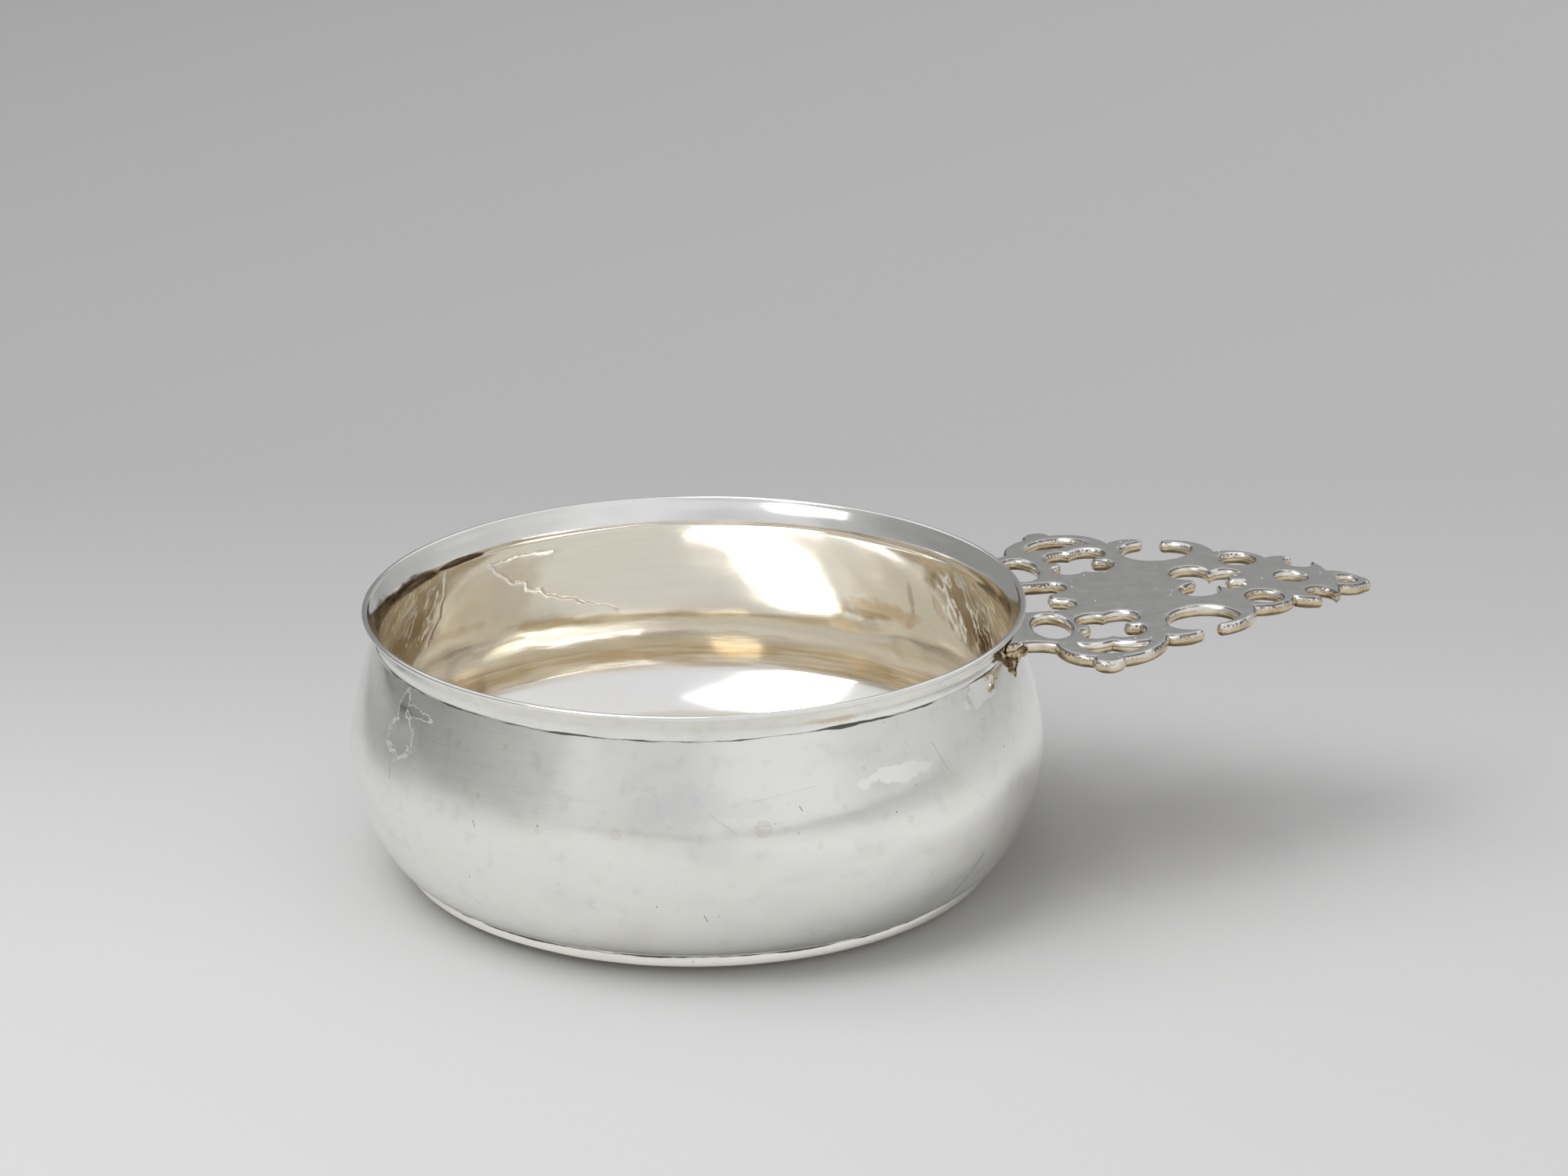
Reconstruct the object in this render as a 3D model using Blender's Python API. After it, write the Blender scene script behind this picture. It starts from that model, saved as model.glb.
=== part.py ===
"""Silver porringer: a raised bowl with one cast, pierced handle soldered under its lip.

Lengths are in metres and +Z is up. The bowl stands on z = 0 and the handle points along +X.
The origin is the middle of the whole length, on the surface that the bowl stands on.
"""
import math

import bmesh
import bpy
from mathutils import Vector
from mathutils.geometry import interpolate_bezier

MM = 0.001

# Bowl, hammered out of one sheet
LIP_RADIUS = 0.0650
LIP_THICKNESS = 0.0012
LIP_DEPTH = 0.0055
LIP_FLARE = 0.0025
BOWL_HEIGHT = 0.0541
BELLY_SWELL = 0.0060
BELLY_HEIGHT = 0.0261
FOOT_RADIUS = 0.0588
FOOT_HEIGHT = 0.0040
FOOT_ROUNDING = 0.0068
FOOT_FLAT = 0.0050
DOME_RISE = 0.0032
SHEET = 0.0008
# The foot from its upright band to the ring that it stands on: (rounding shares outward, height shares)
FOOT_BAND = [(0.04, 0.80), (0.0, 0.58), (-0.1, 0.43)]
FOOT_CURVE = [(-0.25, 0.275), (-0.5, 0.11), (-0.75, 0.025), (-1.0, 0.0)]
# Reach of the handles of the section's curves, as shares of the spans that they cross
LIP_PULL_IN = 0.4
LIP_PULL_DOWN = 0.3
CREASE_PULL_UP = 0.4
SHOULDER_PULL_OUT = 0.5
SHOULDER_PULL_DOWN = 0.25
BELLY_PULL_UP = 0.2
BELLY_PULL_DOWN = 0.35
FOOT_PULL_OUT = 0.5
FOOT_PULL_UP = 0.06
DOME_EDGE_PULL = 0.8
DOME_CROWN_PULL = 0.5

# Handle plate, measured from the back of its pads, where they meet the bowl
PLATE_THICKNESS = 0.0025
PLATE_BELOW_LIP = 0.0033
ARCH_RISE = 0.0024
ARCH_CREST = 0.0486
TIP_DROP = 0.0017
PAD_INNER_EDGE = 0.0082
PAD_OUTER_EDGE = 0.0254

# Half of the handle's edge in millimetres: (outward, sideways, rise of the arc that leads there).
# A positive rise swells the metal and a negative one hollows it.
PALM_EDGE = [
    (7.2, 0.0, 0.0),       # tip of the finger in the middle opening
    (8.1, 1.5, 0.35),
    (10.1, 2.0, 0.0),      # root of the finger
    (8.9, 8.1, -2.8),      # round end of the middle opening
]
OUTER_EDGE = [
    (-1.1, 24.7, -0.2),    # waist of the outer arm
    (4.0, 26.3, -0.5),     # notch between the arm and the large lobe
    (9.75, 35.05, 1.7),
    (14.85, 36.2, 3.0),    # round knop on the large lobe
    (25.1, 27.6, 2.4),     # notch between the lobe and the first horn
    (31.6, 27.9, 1.1),
    (31.4, 26.7, 0.6),     # blunt end of the first horn
    (26.7, 22.6, -1.0),
    (41.35, 20.5, -7.7),   # round bay between the horns
    (37.0, 24.5, -0.7),
    (36.6, 25.7, 0.6),     # blunt end of the second horn
    (44.9, 16.4, 2.4),     # notch between the horn and the ring
    (54.4, 11.6, 2.1),     # notch between the ring and the hook
    (59.3, 12.45, 0.6),
    (59.5, 11.95, 0.2),    # end of the hook
    (63.7, 9.3, -5.0),     # small bay, and the thorn after it
    (65.1, 4.1, 0.45),     # notch before the end lobe
    (71.9, 1.25, 1.2),
    (72.8, 0.0, 0.25),     # bead at the handle's end
]

# Piercings in millimetres. Round ones: (outward, sideways, radius along, radius across)
ROUND_PIERCINGS = [
    (68.1, 0.0, 2.4, 2.4),
    (56.8, 0.0, 3.5, 3.5),
    (48.5, 11.3, 3.9, 3.9),
    (4.8, 16.7, 4.1, 7.1),
]
# Others: arcs as above, where a positive rise widens the opening
CRESCENT = [
    (7.8, 26.9, 1.0),
    (21.6, 29.2, 6.05),
    (14.6, 27.1, -0.85),
    (7.8, 26.9, -1.0),
]
SIDE_QUATREFOIL = [
    (11.2, 19.6, -1.5),
    (16.1, 24.9, 3.3),
    (22.9, 20.2, 3.7),
    (19.8, 20.0, 0.0),
    (19.8, 18.1, -0.95),   # end of the finger that points to the bowl
    (22.9, 17.9, 0.0),
    (16.9, 12.7, 3.6),
    (11.2, 17.0, 3.2),
    (11.2, 19.6, -1.5),
]
MIDDLE_QUATREFOIL_HALF = [
    (36.8, 0.0, 0.0),      # end of the finger that points outward
    (36.0, 0.95, -0.3),
    (33.9, 2.2, 0.0),
    (41.1, 4.0, 5.9),
    (46.9, 1.4, 3.0),
    (44.9, 1.1, 0.0),
    (44.1, 0.0, -0.3),     # end of the finger that points to the bowl
]

# Solder between the pads and the wall
SEAM_GAP = 0.0003
SOLDER_REACH = 0.0016
SOLDER_DEPTH = 0.0022
TONGUE_DEPTH = 0.0045
TONGUE_WIDTH = 0.0030

# Fineness of the solids
TURN_STEPS = 64
PROFILE_STEPS = 7
ARC_STEP = 0.0012
BEND_STEP = 0.0060
SOLDER_STEPS = 10
WELD_DISTANCE = 0.00001
STRAIGHT_SHARE = 0.001

SILVER = (0.80, 0.79, 0.76, 1.0)
SILVER_ROUGHNESS = 0.18
CAST_ROUGHNESS = 0.25
SOLDER_BROWN = (0.33, 0.26, 0.18, 1.0)
SOLDER_ROUGHNESS = 0.55
CRISP_EDGE = math.radians(40.0)


def metal(name, colour, roughness):
    """Makes a metallic material."""
    material = bpy.data.materials.new(name)
    material.use_nodes = True
    shader = material.node_tree.nodes["Principled BSDF"]
    shader.inputs["Base Color"].default_value = colour
    shader.inputs["Metallic"].default_value = 1.0
    shader.inputs["Roughness"].default_value = roughness
    return material


def add_piece(name, mesh, material, parent):
    """Makes one named object from a mesh and hangs it on its parent."""
    mesh.materials.append(material)
    piece = bpy.data.objects.new(name, mesh)
    piece.parent = parent
    bpy.context.scene.collection.objects.link(piece)
    return piece


def curve(start, start_handle, end_handle, end):
    """Points (radius, height) along a Bezier curve, both ends included."""
    points = (Vector((r, z, 0.0)) for r, z in (start, start_handle, end_handle, end))
    return [(p.x, p.y) for p in interpolate_bezier(*points, PROFILE_STEPS)]


def crease_radius():
    """Radius of the outer crease under the lip."""
    return LIP_RADIUS - LIP_FLARE


def belly_radius():
    """Largest radius of the bowl."""
    return crease_radius() + BELLY_SWELL


def wall_profile(inset, lip_width):
    """Wall from lip to foot as (radius, height), moved inward by inset and by lip_width at the lip."""
    crease_height = BOWL_HEIGHT - LIP_DEPTH
    crease = (crease_radius() - inset, crease_height)
    belly = (belly_radius() - inset, BELLY_HEIGHT)
    foot = (FOOT_RADIUS - inset, FOOT_HEIGHT + inset)
    lip = (LIP_RADIUS - lip_width, BOWL_HEIGHT)
    upper = crease_height - BELLY_HEIGHT
    lower = BELLY_HEIGHT - FOOT_HEIGHT
    side = belly[0] - foot[0]
    flare = curve(lip, (lip[0] - LIP_PULL_IN * LIP_FLARE, lip[1] - LIP_PULL_DOWN * LIP_DEPTH),
                  (crease[0], crease[1] + CREASE_PULL_UP * LIP_DEPTH), crease)
    shoulder = curve(crease, (crease[0] + SHOULDER_PULL_OUT * BELLY_SWELL,
                              crease[1] - SHOULDER_PULL_DOWN * upper),
                     (belly[0], belly[1] + BELLY_PULL_UP * upper), belly)
    turn = curve(belly, (belly[0], belly[1] - BELLY_PULL_DOWN * lower),
                 (foot[0] + FOOT_PULL_OUT * side, foot[1] + FOOT_PULL_UP * lower), foot)
    return flare + shoulder[1:] + turn[1:]


def wall_radius(height):
    """Outer radius of the bowl's wall at a height."""
    profile = wall_profile(0.0, 0.0)
    for (r0, z0), (r1, z1) in zip(profile, profile[1:]):
        if z1 <= height <= z0:
            return r0 + (r1 - r0) * (z0 - height) / (z0 - z1)
    return FOOT_RADIUS


def foot_points(table, lift):
    """Points of the foot as (radius, height), lifted by a distance."""
    return [(FOOT_RADIUS + out * FOOT_ROUNDING, up * FOOT_HEIGHT + lift) for out, up in table]


def ring_radius():
    """Inner radius of the flat ring that the bowl stands on."""
    return FOOT_RADIUS - FOOT_ROUNDING - FOOT_FLAT


def dome(edge, height):
    """Pushed-up middle as (radius, height), from its edge at a height in to the axis."""
    crown = height + DOME_RISE
    return curve((edge, height), (DOME_EDGE_PULL * edge, crown),
                 (DOME_CROWN_PULL * edge, crown), (0.0, crown))


def make_bowl(material, parent):
    """Turns the sheet's section about the bowl's axis."""
    floor = dome(ring_radius(), SHEET)[::-1] + foot_points(FOOT_CURVE, SHEET)[::-1]
    inside = floor + wall_profile(SHEET, LIP_THICKNESS)[::-1]
    underside = foot_points(FOOT_BAND + FOOT_CURVE, 0.0) + dome(ring_radius(), 0.0)
    section = inside + wall_profile(0.0, 0.0) + underside
    mesh = bpy.data.meshes.new("bowl")
    mesh.from_pydata([(r, 0.0, z) for r, z in section], [(k, k + 1) for k in range(len(section) - 1)], [])
    bowl = add_piece("bowl", mesh, material, parent)
    turning = bowl.modifiers.new("turned", "SCREW")
    turning.axis = "Z"
    turning.steps = TURN_STEPS
    turning.render_steps = TURN_STEPS
    turning.use_merge_vertices = True
    turning.merge_threshold = WELD_DISTANCE
    return bowl


def arc(start, end, rise):
    """Points on the way from start to end, without start, along an arc that rises to the left."""
    chord = end - start
    length = chord.length
    if abs(rise) < STRAIGHT_SHARE * length:
        return [end]
    radius = (0.25 * length ** 2 + rise ** 2) / (2.0 * rise)
    left = Vector((-chord.y, chord.x)) / length
    centre = (start + end) / 2.0 + left * (rise - radius)
    sweep = -4.0 * math.atan2(2.0 * rise, length)
    steps = max(3, math.ceil(abs(sweep * radius) / ARC_STEP))
    spoke = start - centre
    points = []
    for k in range(1, steps + 1):
        angle = sweep * k / steps
        turned = Vector((spoke.x * math.cos(angle) - spoke.y * math.sin(angle),
                         spoke.x * math.sin(angle) + spoke.y * math.cos(angle)))
        points.append(centre + turned)
    return points


def path(corners):
    """Points along arcs through corners (place, rise), the first one included."""
    points = [corners[0][0]]
    for (start, _), (end, rise) in zip(corners, corners[1:]):
        points += arc(start, end, rise)
    return points


def back_radius():
    """Radius of the pads' backs: the wall at the plate's top, plus the seam."""
    return wall_radius(BOWL_HEIGHT - PLATE_BELOW_LIP) + SEAM_GAP


def corner(entry):
    """Turns a table's (outward, sideways, rise) in millimetres into a place and a rise in metres."""
    outward, sideways, rise = entry
    return Vector((back_radius() + outward * MM, sideways * MM)), rise * MM


def pad_corner(sideways):
    """Place on the pads' back at a distance from the handle's middle."""
    return Vector((math.sqrt(back_radius() ** 2 - sideways ** 2), sideways))


def handle_outline():
    """Closed outline of the handle, in plan: one half from finger to tip, then its mirror image."""
    inner, outer = pad_corner(PAD_INNER_EDGE), pad_corner(PAD_OUTER_EDGE)
    half_chord = (outer - inner).length / 2.0
    pad_hollow = back_radius() - math.sqrt(back_radius() ** 2 - half_chord ** 2)
    half = path([corner(entry) for entry in PALM_EDGE] + [(inner, 0.0), (outer, -pad_hollow)]
                + [corner(entry) for entry in OUTER_EDGE])
    return half + mirrored(half)[-2:0:-1]


def mirrored(points):
    """Points on the other side of the handle's middle."""
    return [Vector((p.x, -p.y)) for p in points]


def handle_piercings():
    """Closed outlines of all openings inside the handle."""
    loops = []
    for outward, sideways, along, across in ROUND_PIERCINGS:
        centre = corner((outward, sideways, 0.0))[0]
        steps = math.ceil(math.tau * max(along, across) * MM / ARC_STEP)
        angles = [math.tau * k / steps for k in range(steps)]
        loop = [centre + Vector((along * math.cos(a), across * math.sin(a))) * MM for a in angles]
        loops += [loop] if sideways == 0.0 else [loop, mirrored(loop)]
    for table in (CRESCENT, SIDE_QUATREFOIL):
        loop = path([corner(entry) for entry in table])[:-1]
        loops += [loop, mirrored(loop)]
    half = path([corner(entry) for entry in MIDDLE_QUATREFOIL_HALF])
    loops.append(half + mirrored(half)[-2:0:-1])
    return loops


def plate_height(x):
    """Height of the plate's top at a distance from the bowl's axis: up to a crest, then down to the tip."""
    root = BOWL_HEIGHT - PLATE_BELOW_LIP
    along = x - back_radius()
    if along <= ARCH_CREST:
        return root + ARCH_RISE * (1.0 - math.cos(math.pi * max(along, 0.0) / ARCH_CREST)) / 2.0
    droop = (along - ARCH_CREST) / (handle_reach() - back_radius() - ARCH_CREST)
    return root + ARCH_RISE - TIP_DROP * droop ** 2


def handle_reach():
    """Distance of the handle's end from the bowl's axis."""
    return corner(OUTER_EDGE[-1])[0].x


def make_handle(material, parent):
    """Fills the pierced outline, thickens it and bends it to the arch."""
    shape = bmesh.new()
    for loop in [handle_outline()] + handle_piercings():
        points = [shape.verts.new((p.x, p.y, 0.0)) for p in loop]
        for start, end in zip(points, points[1:] + points[:1]):
            shape.edges.new((start, end))
    bmesh.ops.triangle_fill(shape, edges=shape.edges[:], use_beauty=True, normal=(0.0, 0.0, 1.0))
    place = back_radius()
    while place < handle_reach() - BEND_STEP:
        everything = shape.verts[:] + shape.edges[:] + shape.faces[:]
        bmesh.ops.bisect_plane(shape, geom=everything, plane_co=(place, 0.0, 0.0), plane_no=(1.0, 0.0, 0.0))
        place += BEND_STEP
    bmesh.ops.triangulate(shape, faces=shape.faces[:])
    thickened = bmesh.ops.extrude_face_region(shape, geom=shape.faces[:])
    for vert in [item for item in thickened["geom"] if isinstance(item, bmesh.types.BMVert)]:
        vert.co.z -= PLATE_THICKNESS
    for vert in shape.verts:
        vert.co.z += plate_height(vert.co.x)
    bmesh.ops.recalc_face_normals(shape, faces=shape.faces[:])
    mesh = bpy.data.meshes.new("handle")
    shape.to_mesh(mesh)
    shape.free()
    return add_piece("handle", mesh, material, parent)


def solder_depth(sideways):
    """How far the solder runs down the wall: even under the pad, with a pointed tongue at its outer end."""
    from_end = abs(sideways - PAD_OUTER_EDGE)
    return SOLDER_DEPTH + (TONGUE_DEPTH - SOLDER_DEPTH) * max(0.0, 1.0 - from_end / TONGUE_WIDTH)


def make_solder(name, side, material, parent):
    """Lays a wedge of solder under one pad, between the plate's underside and the wall."""
    top = BOWL_HEIGHT - PLATE_BELOW_LIP - PLATE_THICKNESS - SEAM_GAP
    shape = bmesh.new()
    sections = []
    for k in range(SOLDER_STEPS + 1):
        sideways = PAD_INNER_EDGE + (PAD_OUTER_EDGE - PAD_INNER_EDGE) * k / SOLDER_STEPS
        angle = side * math.asin(sideways / back_radius())
        depth = solder_depth(sideways)
        wedge = [(wall_radius(top - drop) + SEAM_GAP, top - drop) for drop in (0.0, depth / 2.0, depth)]
        wedge.append((wall_radius(top - depth / 2.0) + SEAM_GAP + SOLDER_REACH, top - depth / 4.0))
        wedge.append((wall_radius(top) + SEAM_GAP + SOLDER_REACH, top))
        sections.append([shape.verts.new((r * math.cos(angle), r * math.sin(angle), z)) for r, z in wedge])
    for here, there in zip(sections, sections[1:]):
        for k in range(len(here)):
            nearby = (k + 1) % len(here)
            shape.faces.new((here[k], here[nearby], there[nearby], there[k]))
    shape.faces.new(sections[0])
    shape.faces.new(sections[-1])
    bmesh.ops.triangulate(shape, faces=shape.faces[:])
    bmesh.ops.recalc_face_normals(shape, faces=shape.faces[:])
    mesh = bpy.data.meshes.new(name)
    shape.to_mesh(mesh)
    shape.free()
    return add_piece(name, mesh, material, parent)


def main():
    """Builds the porringer."""
    for old in list(bpy.data.objects):
        bpy.data.objects.remove(old, do_unlink=True)
    bowl_axis = bpy.data.objects.new("bowl_axis", None)
    bowl_axis.location = (-(handle_reach() - belly_radius()) / 2.0, 0.0, 0.0)
    bpy.context.scene.collection.objects.link(bowl_axis)
    silver = metal("silver", SILVER, SILVER_ROUGHNESS)
    cast_silver = metal("cast_silver", SILVER, CAST_ROUGHNESS)
    solder = metal("solder", SOLDER_BROWN, SOLDER_ROUGHNESS)
    bowl = make_bowl(silver, bowl_axis)
    handle = make_handle(cast_silver, bowl_axis)
    make_solder("solder_near", -1.0, solder, bowl_axis)
    make_solder("solder_far", 1.0, solder, bowl_axis)
    for piece in (bowl, handle):
        piece.data.shade_smooth()
    handle.data.set_sharp_from_angle(angle=CRISP_EDGE)


main()
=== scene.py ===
"""Dresses a packed silver porringer: its hammered bowl, its cast and pierced handle, and its solder."""

import logging
import math
from collections.abc import Callable
from dataclasses import dataclass, field, replace
from enum import Enum
from functools import cache, reduce

import bmesh
import bpy
import numpy as np
from mathutils import Matrix, Vector
from mathutils.geometry import delaunay_2d_cdt, interpolate_bezier
from mathutils.noise import noise as lump_noise


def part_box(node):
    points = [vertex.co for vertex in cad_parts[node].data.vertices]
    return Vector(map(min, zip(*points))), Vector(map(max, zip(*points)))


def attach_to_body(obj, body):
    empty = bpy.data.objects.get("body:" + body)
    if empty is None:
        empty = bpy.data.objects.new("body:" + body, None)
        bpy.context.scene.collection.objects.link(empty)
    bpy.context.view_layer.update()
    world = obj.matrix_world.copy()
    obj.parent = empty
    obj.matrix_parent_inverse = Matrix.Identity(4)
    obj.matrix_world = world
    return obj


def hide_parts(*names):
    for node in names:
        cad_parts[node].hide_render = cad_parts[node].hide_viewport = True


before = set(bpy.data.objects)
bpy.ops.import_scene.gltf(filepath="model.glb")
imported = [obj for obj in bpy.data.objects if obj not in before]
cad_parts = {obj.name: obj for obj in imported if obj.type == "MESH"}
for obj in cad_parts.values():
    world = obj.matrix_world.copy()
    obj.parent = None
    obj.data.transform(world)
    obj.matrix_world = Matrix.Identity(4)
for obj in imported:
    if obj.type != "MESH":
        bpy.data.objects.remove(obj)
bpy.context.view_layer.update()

LOG = logging.getLogger("porringer")
MM = 0.001
BODY = "root"
FAR_AWAY = 100.0
Socket = bpy.types.NodeSocket
Feed = Socket | float | int | str | tuple | Vector
Points = list[tuple[float, float]]
Spot = Callable[[float, float], Vector]


class Side(Enum):
    """The handle's two sides, as the sign of y."""

    NEAR = -1.0
    FAR = 1.0


class Wiring:
    """Adds nodes to one tree and joins their sockets."""

    # Share of a stroke's width that is full, and how deep below a surface it ends and is full
    stroke_core = 0.2
    stroke_depth = (4.0 * MM, 3.0 * MM)

    def __init__(self, tree: bpy.types.NodeTree) -> None:
        """Works on a tree.

        Args:
            tree: The node tree that gets the nodes.
        """
        self.tree = tree

    def feed(self, socket: Socket, value: Feed) -> None:
        """Links a socket to another one, or sets its value.

        Args:
            socket: The socket that is fed.
            value: Another socket, or a value.
        """
        if isinstance(value, Socket):
            self.tree.links.new(value, socket)
        else:
            socket.default_value = value

    def node(self, kind: str, inputs: dict[str | int, Feed] | None = None,
             **settings: object) -> bpy.types.Node:
        """Adds one node.

        Args:
            kind: The node's type name.
            inputs: Values or sockets for its inputs, by name or number.
            **settings: The node's own properties.

        Returns:
            The new node.
        """
        node = self.tree.nodes.new(kind)
        for name, value in settings.items():
            setattr(node, name, value)
        for name, value in (inputs or {}).items():
            self.feed(node.inputs[name], value)
        return node

    def math(self, operation: str, *values: Feed) -> Socket:
        """Adds a Math node and returns its result."""
        return self.node("ShaderNodeMath", dict(enumerate(values)), operation=operation).outputs[0]

    def total(self, *values: Feed) -> Socket:
        """Adds values up."""
        return reduce(lambda result, value: self.math("ADD", result, value), values)

    def product(self, *values: Feed) -> Socket:
        """Multiplies values."""
        return reduce(lambda result, value: self.math("MULTIPLY", result, value), values)

    def largest(self, *values: Feed) -> Socket:
        """Finds the largest of some values."""
        return reduce(lambda result, value: self.math("MAXIMUM", result, value), values)

    def other(self, share: Feed) -> Socket:
        """What is left of 1 when a share is taken away."""
        return self.math("SUBTRACT", 1.0, share)

    def centred(self, noise: Feed, amount: float) -> Socket:
        """Makes noise from 0 to 1 swing about 0 by half an amount each way."""
        return self.math("MULTIPLY_ADD", noise, amount, -0.5 * amount)

    def vector(self, operation: str, *values: Feed) -> bpy.types.Node:
        """Adds a Vector Math node."""
        return self.node("ShaderNodeVectorMath", dict(enumerate(values)), operation=operation)

    def dot(self, vector: Feed, direction: Vector) -> Socket:
        """How far a vector reaches along a direction."""
        return self.vector("DOT_PRODUCT", vector, tuple(direction)).outputs["Value"]

    def length(self, vector: Feed) -> Socket:
        """Length of a vector."""
        return self.vector("LENGTH", vector).outputs["Value"]

    def scaled(self, vector: Feed, amount: Feed) -> Socket:
        """Makes a vector longer or shorter."""
        return self.node("ShaderNodeVectorMath", {0: vector, "Scale": amount}, operation="SCALE").outputs[0]

    def split(self, vector: Feed) -> bpy.types.bpy_prop_collection:
        """Takes a vector apart and returns its three sockets."""
        return self.node("ShaderNodeSeparateXYZ", {0: vector}).outputs

    def join(self, x: Feed, y: Feed, z: Feed) -> Socket:
        """Makes a vector of three numbers."""
        return self.node("ShaderNodeCombineXYZ", {0: x, 1: y, 2: z}).outputs[0]

    def step(self, value: Feed, start: float, end: float) -> Socket:
        """Goes smoothly from 0 to 1.

        Args:
            value: What is looked at.
            start: Where the result is 0.
            end: Where it is 1, which may be below the start.

        Returns:
            A number from 0 to 1.
        """
        low, high, first, last = (start, end, 0.0, 1.0) if start < end else (end, start, 1.0, 0.0)
        inputs = {"Value": value, "From Min": low, "From Max": high, "To Min": first, "To Max": last}
        return self.node("ShaderNodeMapRange", inputs, interpolation_type="SMOOTHSTEP").outputs[0]

    def band(self, value: Feed, span: tuple[float, float, float, float]) -> Socket:
        """Is 1 in a band that fades at both ends.

        Args:
            value: What is looked at.
            span: Where the band starts, is full, is still full and ends.

        Returns:
            A number from 0 to 1.
        """
        start, full, still_full, end = span
        return self.product(self.step(value, start, full), self.step(value, end, still_full))

    def noise(self, vector: Feed, size: float, detail: float = 2.0, stretch: tuple = (1.0, 1.0, 1.0),
              turn: tuple = (0.0, 0.0, 0.0), spread: float = 0.5) -> Socket:
        """Adds noise with features of a size in metres.

        Args:
            vector: Coordinates in metres.
            size: Rough size of a feature, in metres.
            detail: How many finer octaves are added.
            stretch: How much longer a feature is along each axis.
            turn: Turn of the pattern in degrees.
            spread: How strong the finer octaves are.

        Returns:
            A number from 0 to 1, mostly near 0.5.
        """
        if stretch != (1.0, 1.0, 1.0) or turn != (0.0, 0.0, 0.0):
            angles = tuple(math.radians(angle) for angle in turn)
            scale = tuple(1.0 / length for length in stretch)
            vector = self.node("ShaderNodeMapping", {"Vector": vector, "Rotation": angles}).outputs[0]
            vector = self.node("ShaderNodeMapping", {"Vector": vector, "Scale": scale}).outputs[0]
        inputs = {"Vector": vector, "Scale": 1.0 / size, "Detail": detail, "Roughness": spread}
        return self.node("ShaderNodeTexNoise", inputs).outputs[0]

    def cells(self, vector: Feed, size: float) -> Socket:
        """Distance in cell sizes to the nearest of many scattered points."""
        return self.node("ShaderNodeTexVoronoi", {"Vector": vector, "Scale": 1.0 / size}).outputs["Distance"]

    def tint(self, factor: Feed, first: Feed, second: Feed) -> Socket:
        """Mixes two colours."""
        inputs = {0: factor, 6: first, 7: second}
        return self.node("ShaderNodeMix", inputs, data_type="RGBA").outputs[2]

    def blend(self, factor: Feed, first: Feed, second: Feed) -> Socket:
        """Mixes two numbers."""
        inputs = {0: factor, 2: first, 3: second}
        return self.node("ShaderNodeMix", inputs, data_type="FLOAT").outputs[0]

    def bump(self, height: Feed, strength: float, depth: float, normal: Feed | None = None) -> Socket:
        """Bends the normal by relief that the mesh doesn't have.

        Args:
            height: The relief.
            strength: How strongly it shows.
            depth: Depth of a height of 1, in metres.
            normal: The normal that is bent, if it isn't the mesh's own.

        Returns:
            The bent normal.
        """
        inputs = {"Strength": strength, "Distance": depth, "Height": height}
        if normal is not None:
            inputs["Normal"] = normal
        return self.node("ShaderNodeBump", inputs).outputs[0]

    def near(self, vector: Feed, place: Vector, inner: float, outer: float) -> Socket:
        """Is 1 within a distance of a place, and fades to 0 at another distance."""
        distance = self.vector("DISTANCE", vector, tuple(place)).outputs["Value"]
        return self.step(distance, outer, inner)

    def stroke(self, vector: Feed, start: Vector, end: Vector, width: float,
               through: Vector) -> Socket:
        """Is 1 on a straight line, and fades to 0 at a distance from it.

        Args:
            vector: Coordinates in metres.
            start: One end of the line.
            end: The other end.
            width: Distance at which it has faded, in metres.
            through: The surface's direction, in which a small distance doesn't count.

        Returns:
            A number from 0 to 1.
        """
        along = end - start
        past_start = self.vector("SUBTRACT", vector, tuple(start)).outputs[0]
        reach = self.dot(past_start, along / along.length_squared)
        share = self.node("ShaderNodeClamp", {"Value": reach}).outputs[0]
        shares = self.join(share, share, share)
        foot = self.vector("MULTIPLY_ADD", tuple(along), shares, tuple(start)).outputs[0]
        off = self.vector("SUBTRACT", vector, foot).outputs[0]
        deep = self.dot(off, through)
        flat = self.vector("MULTIPLY_ADD", self.join(deep, deep, deep), tuple(-through), off).outputs[0]
        line = self.step(self.length(flat), width, self.stroke_core * width)
        return self.product(line, self.step(self.math("ABSOLUTE", deep), *self.stroke_depth))


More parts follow.
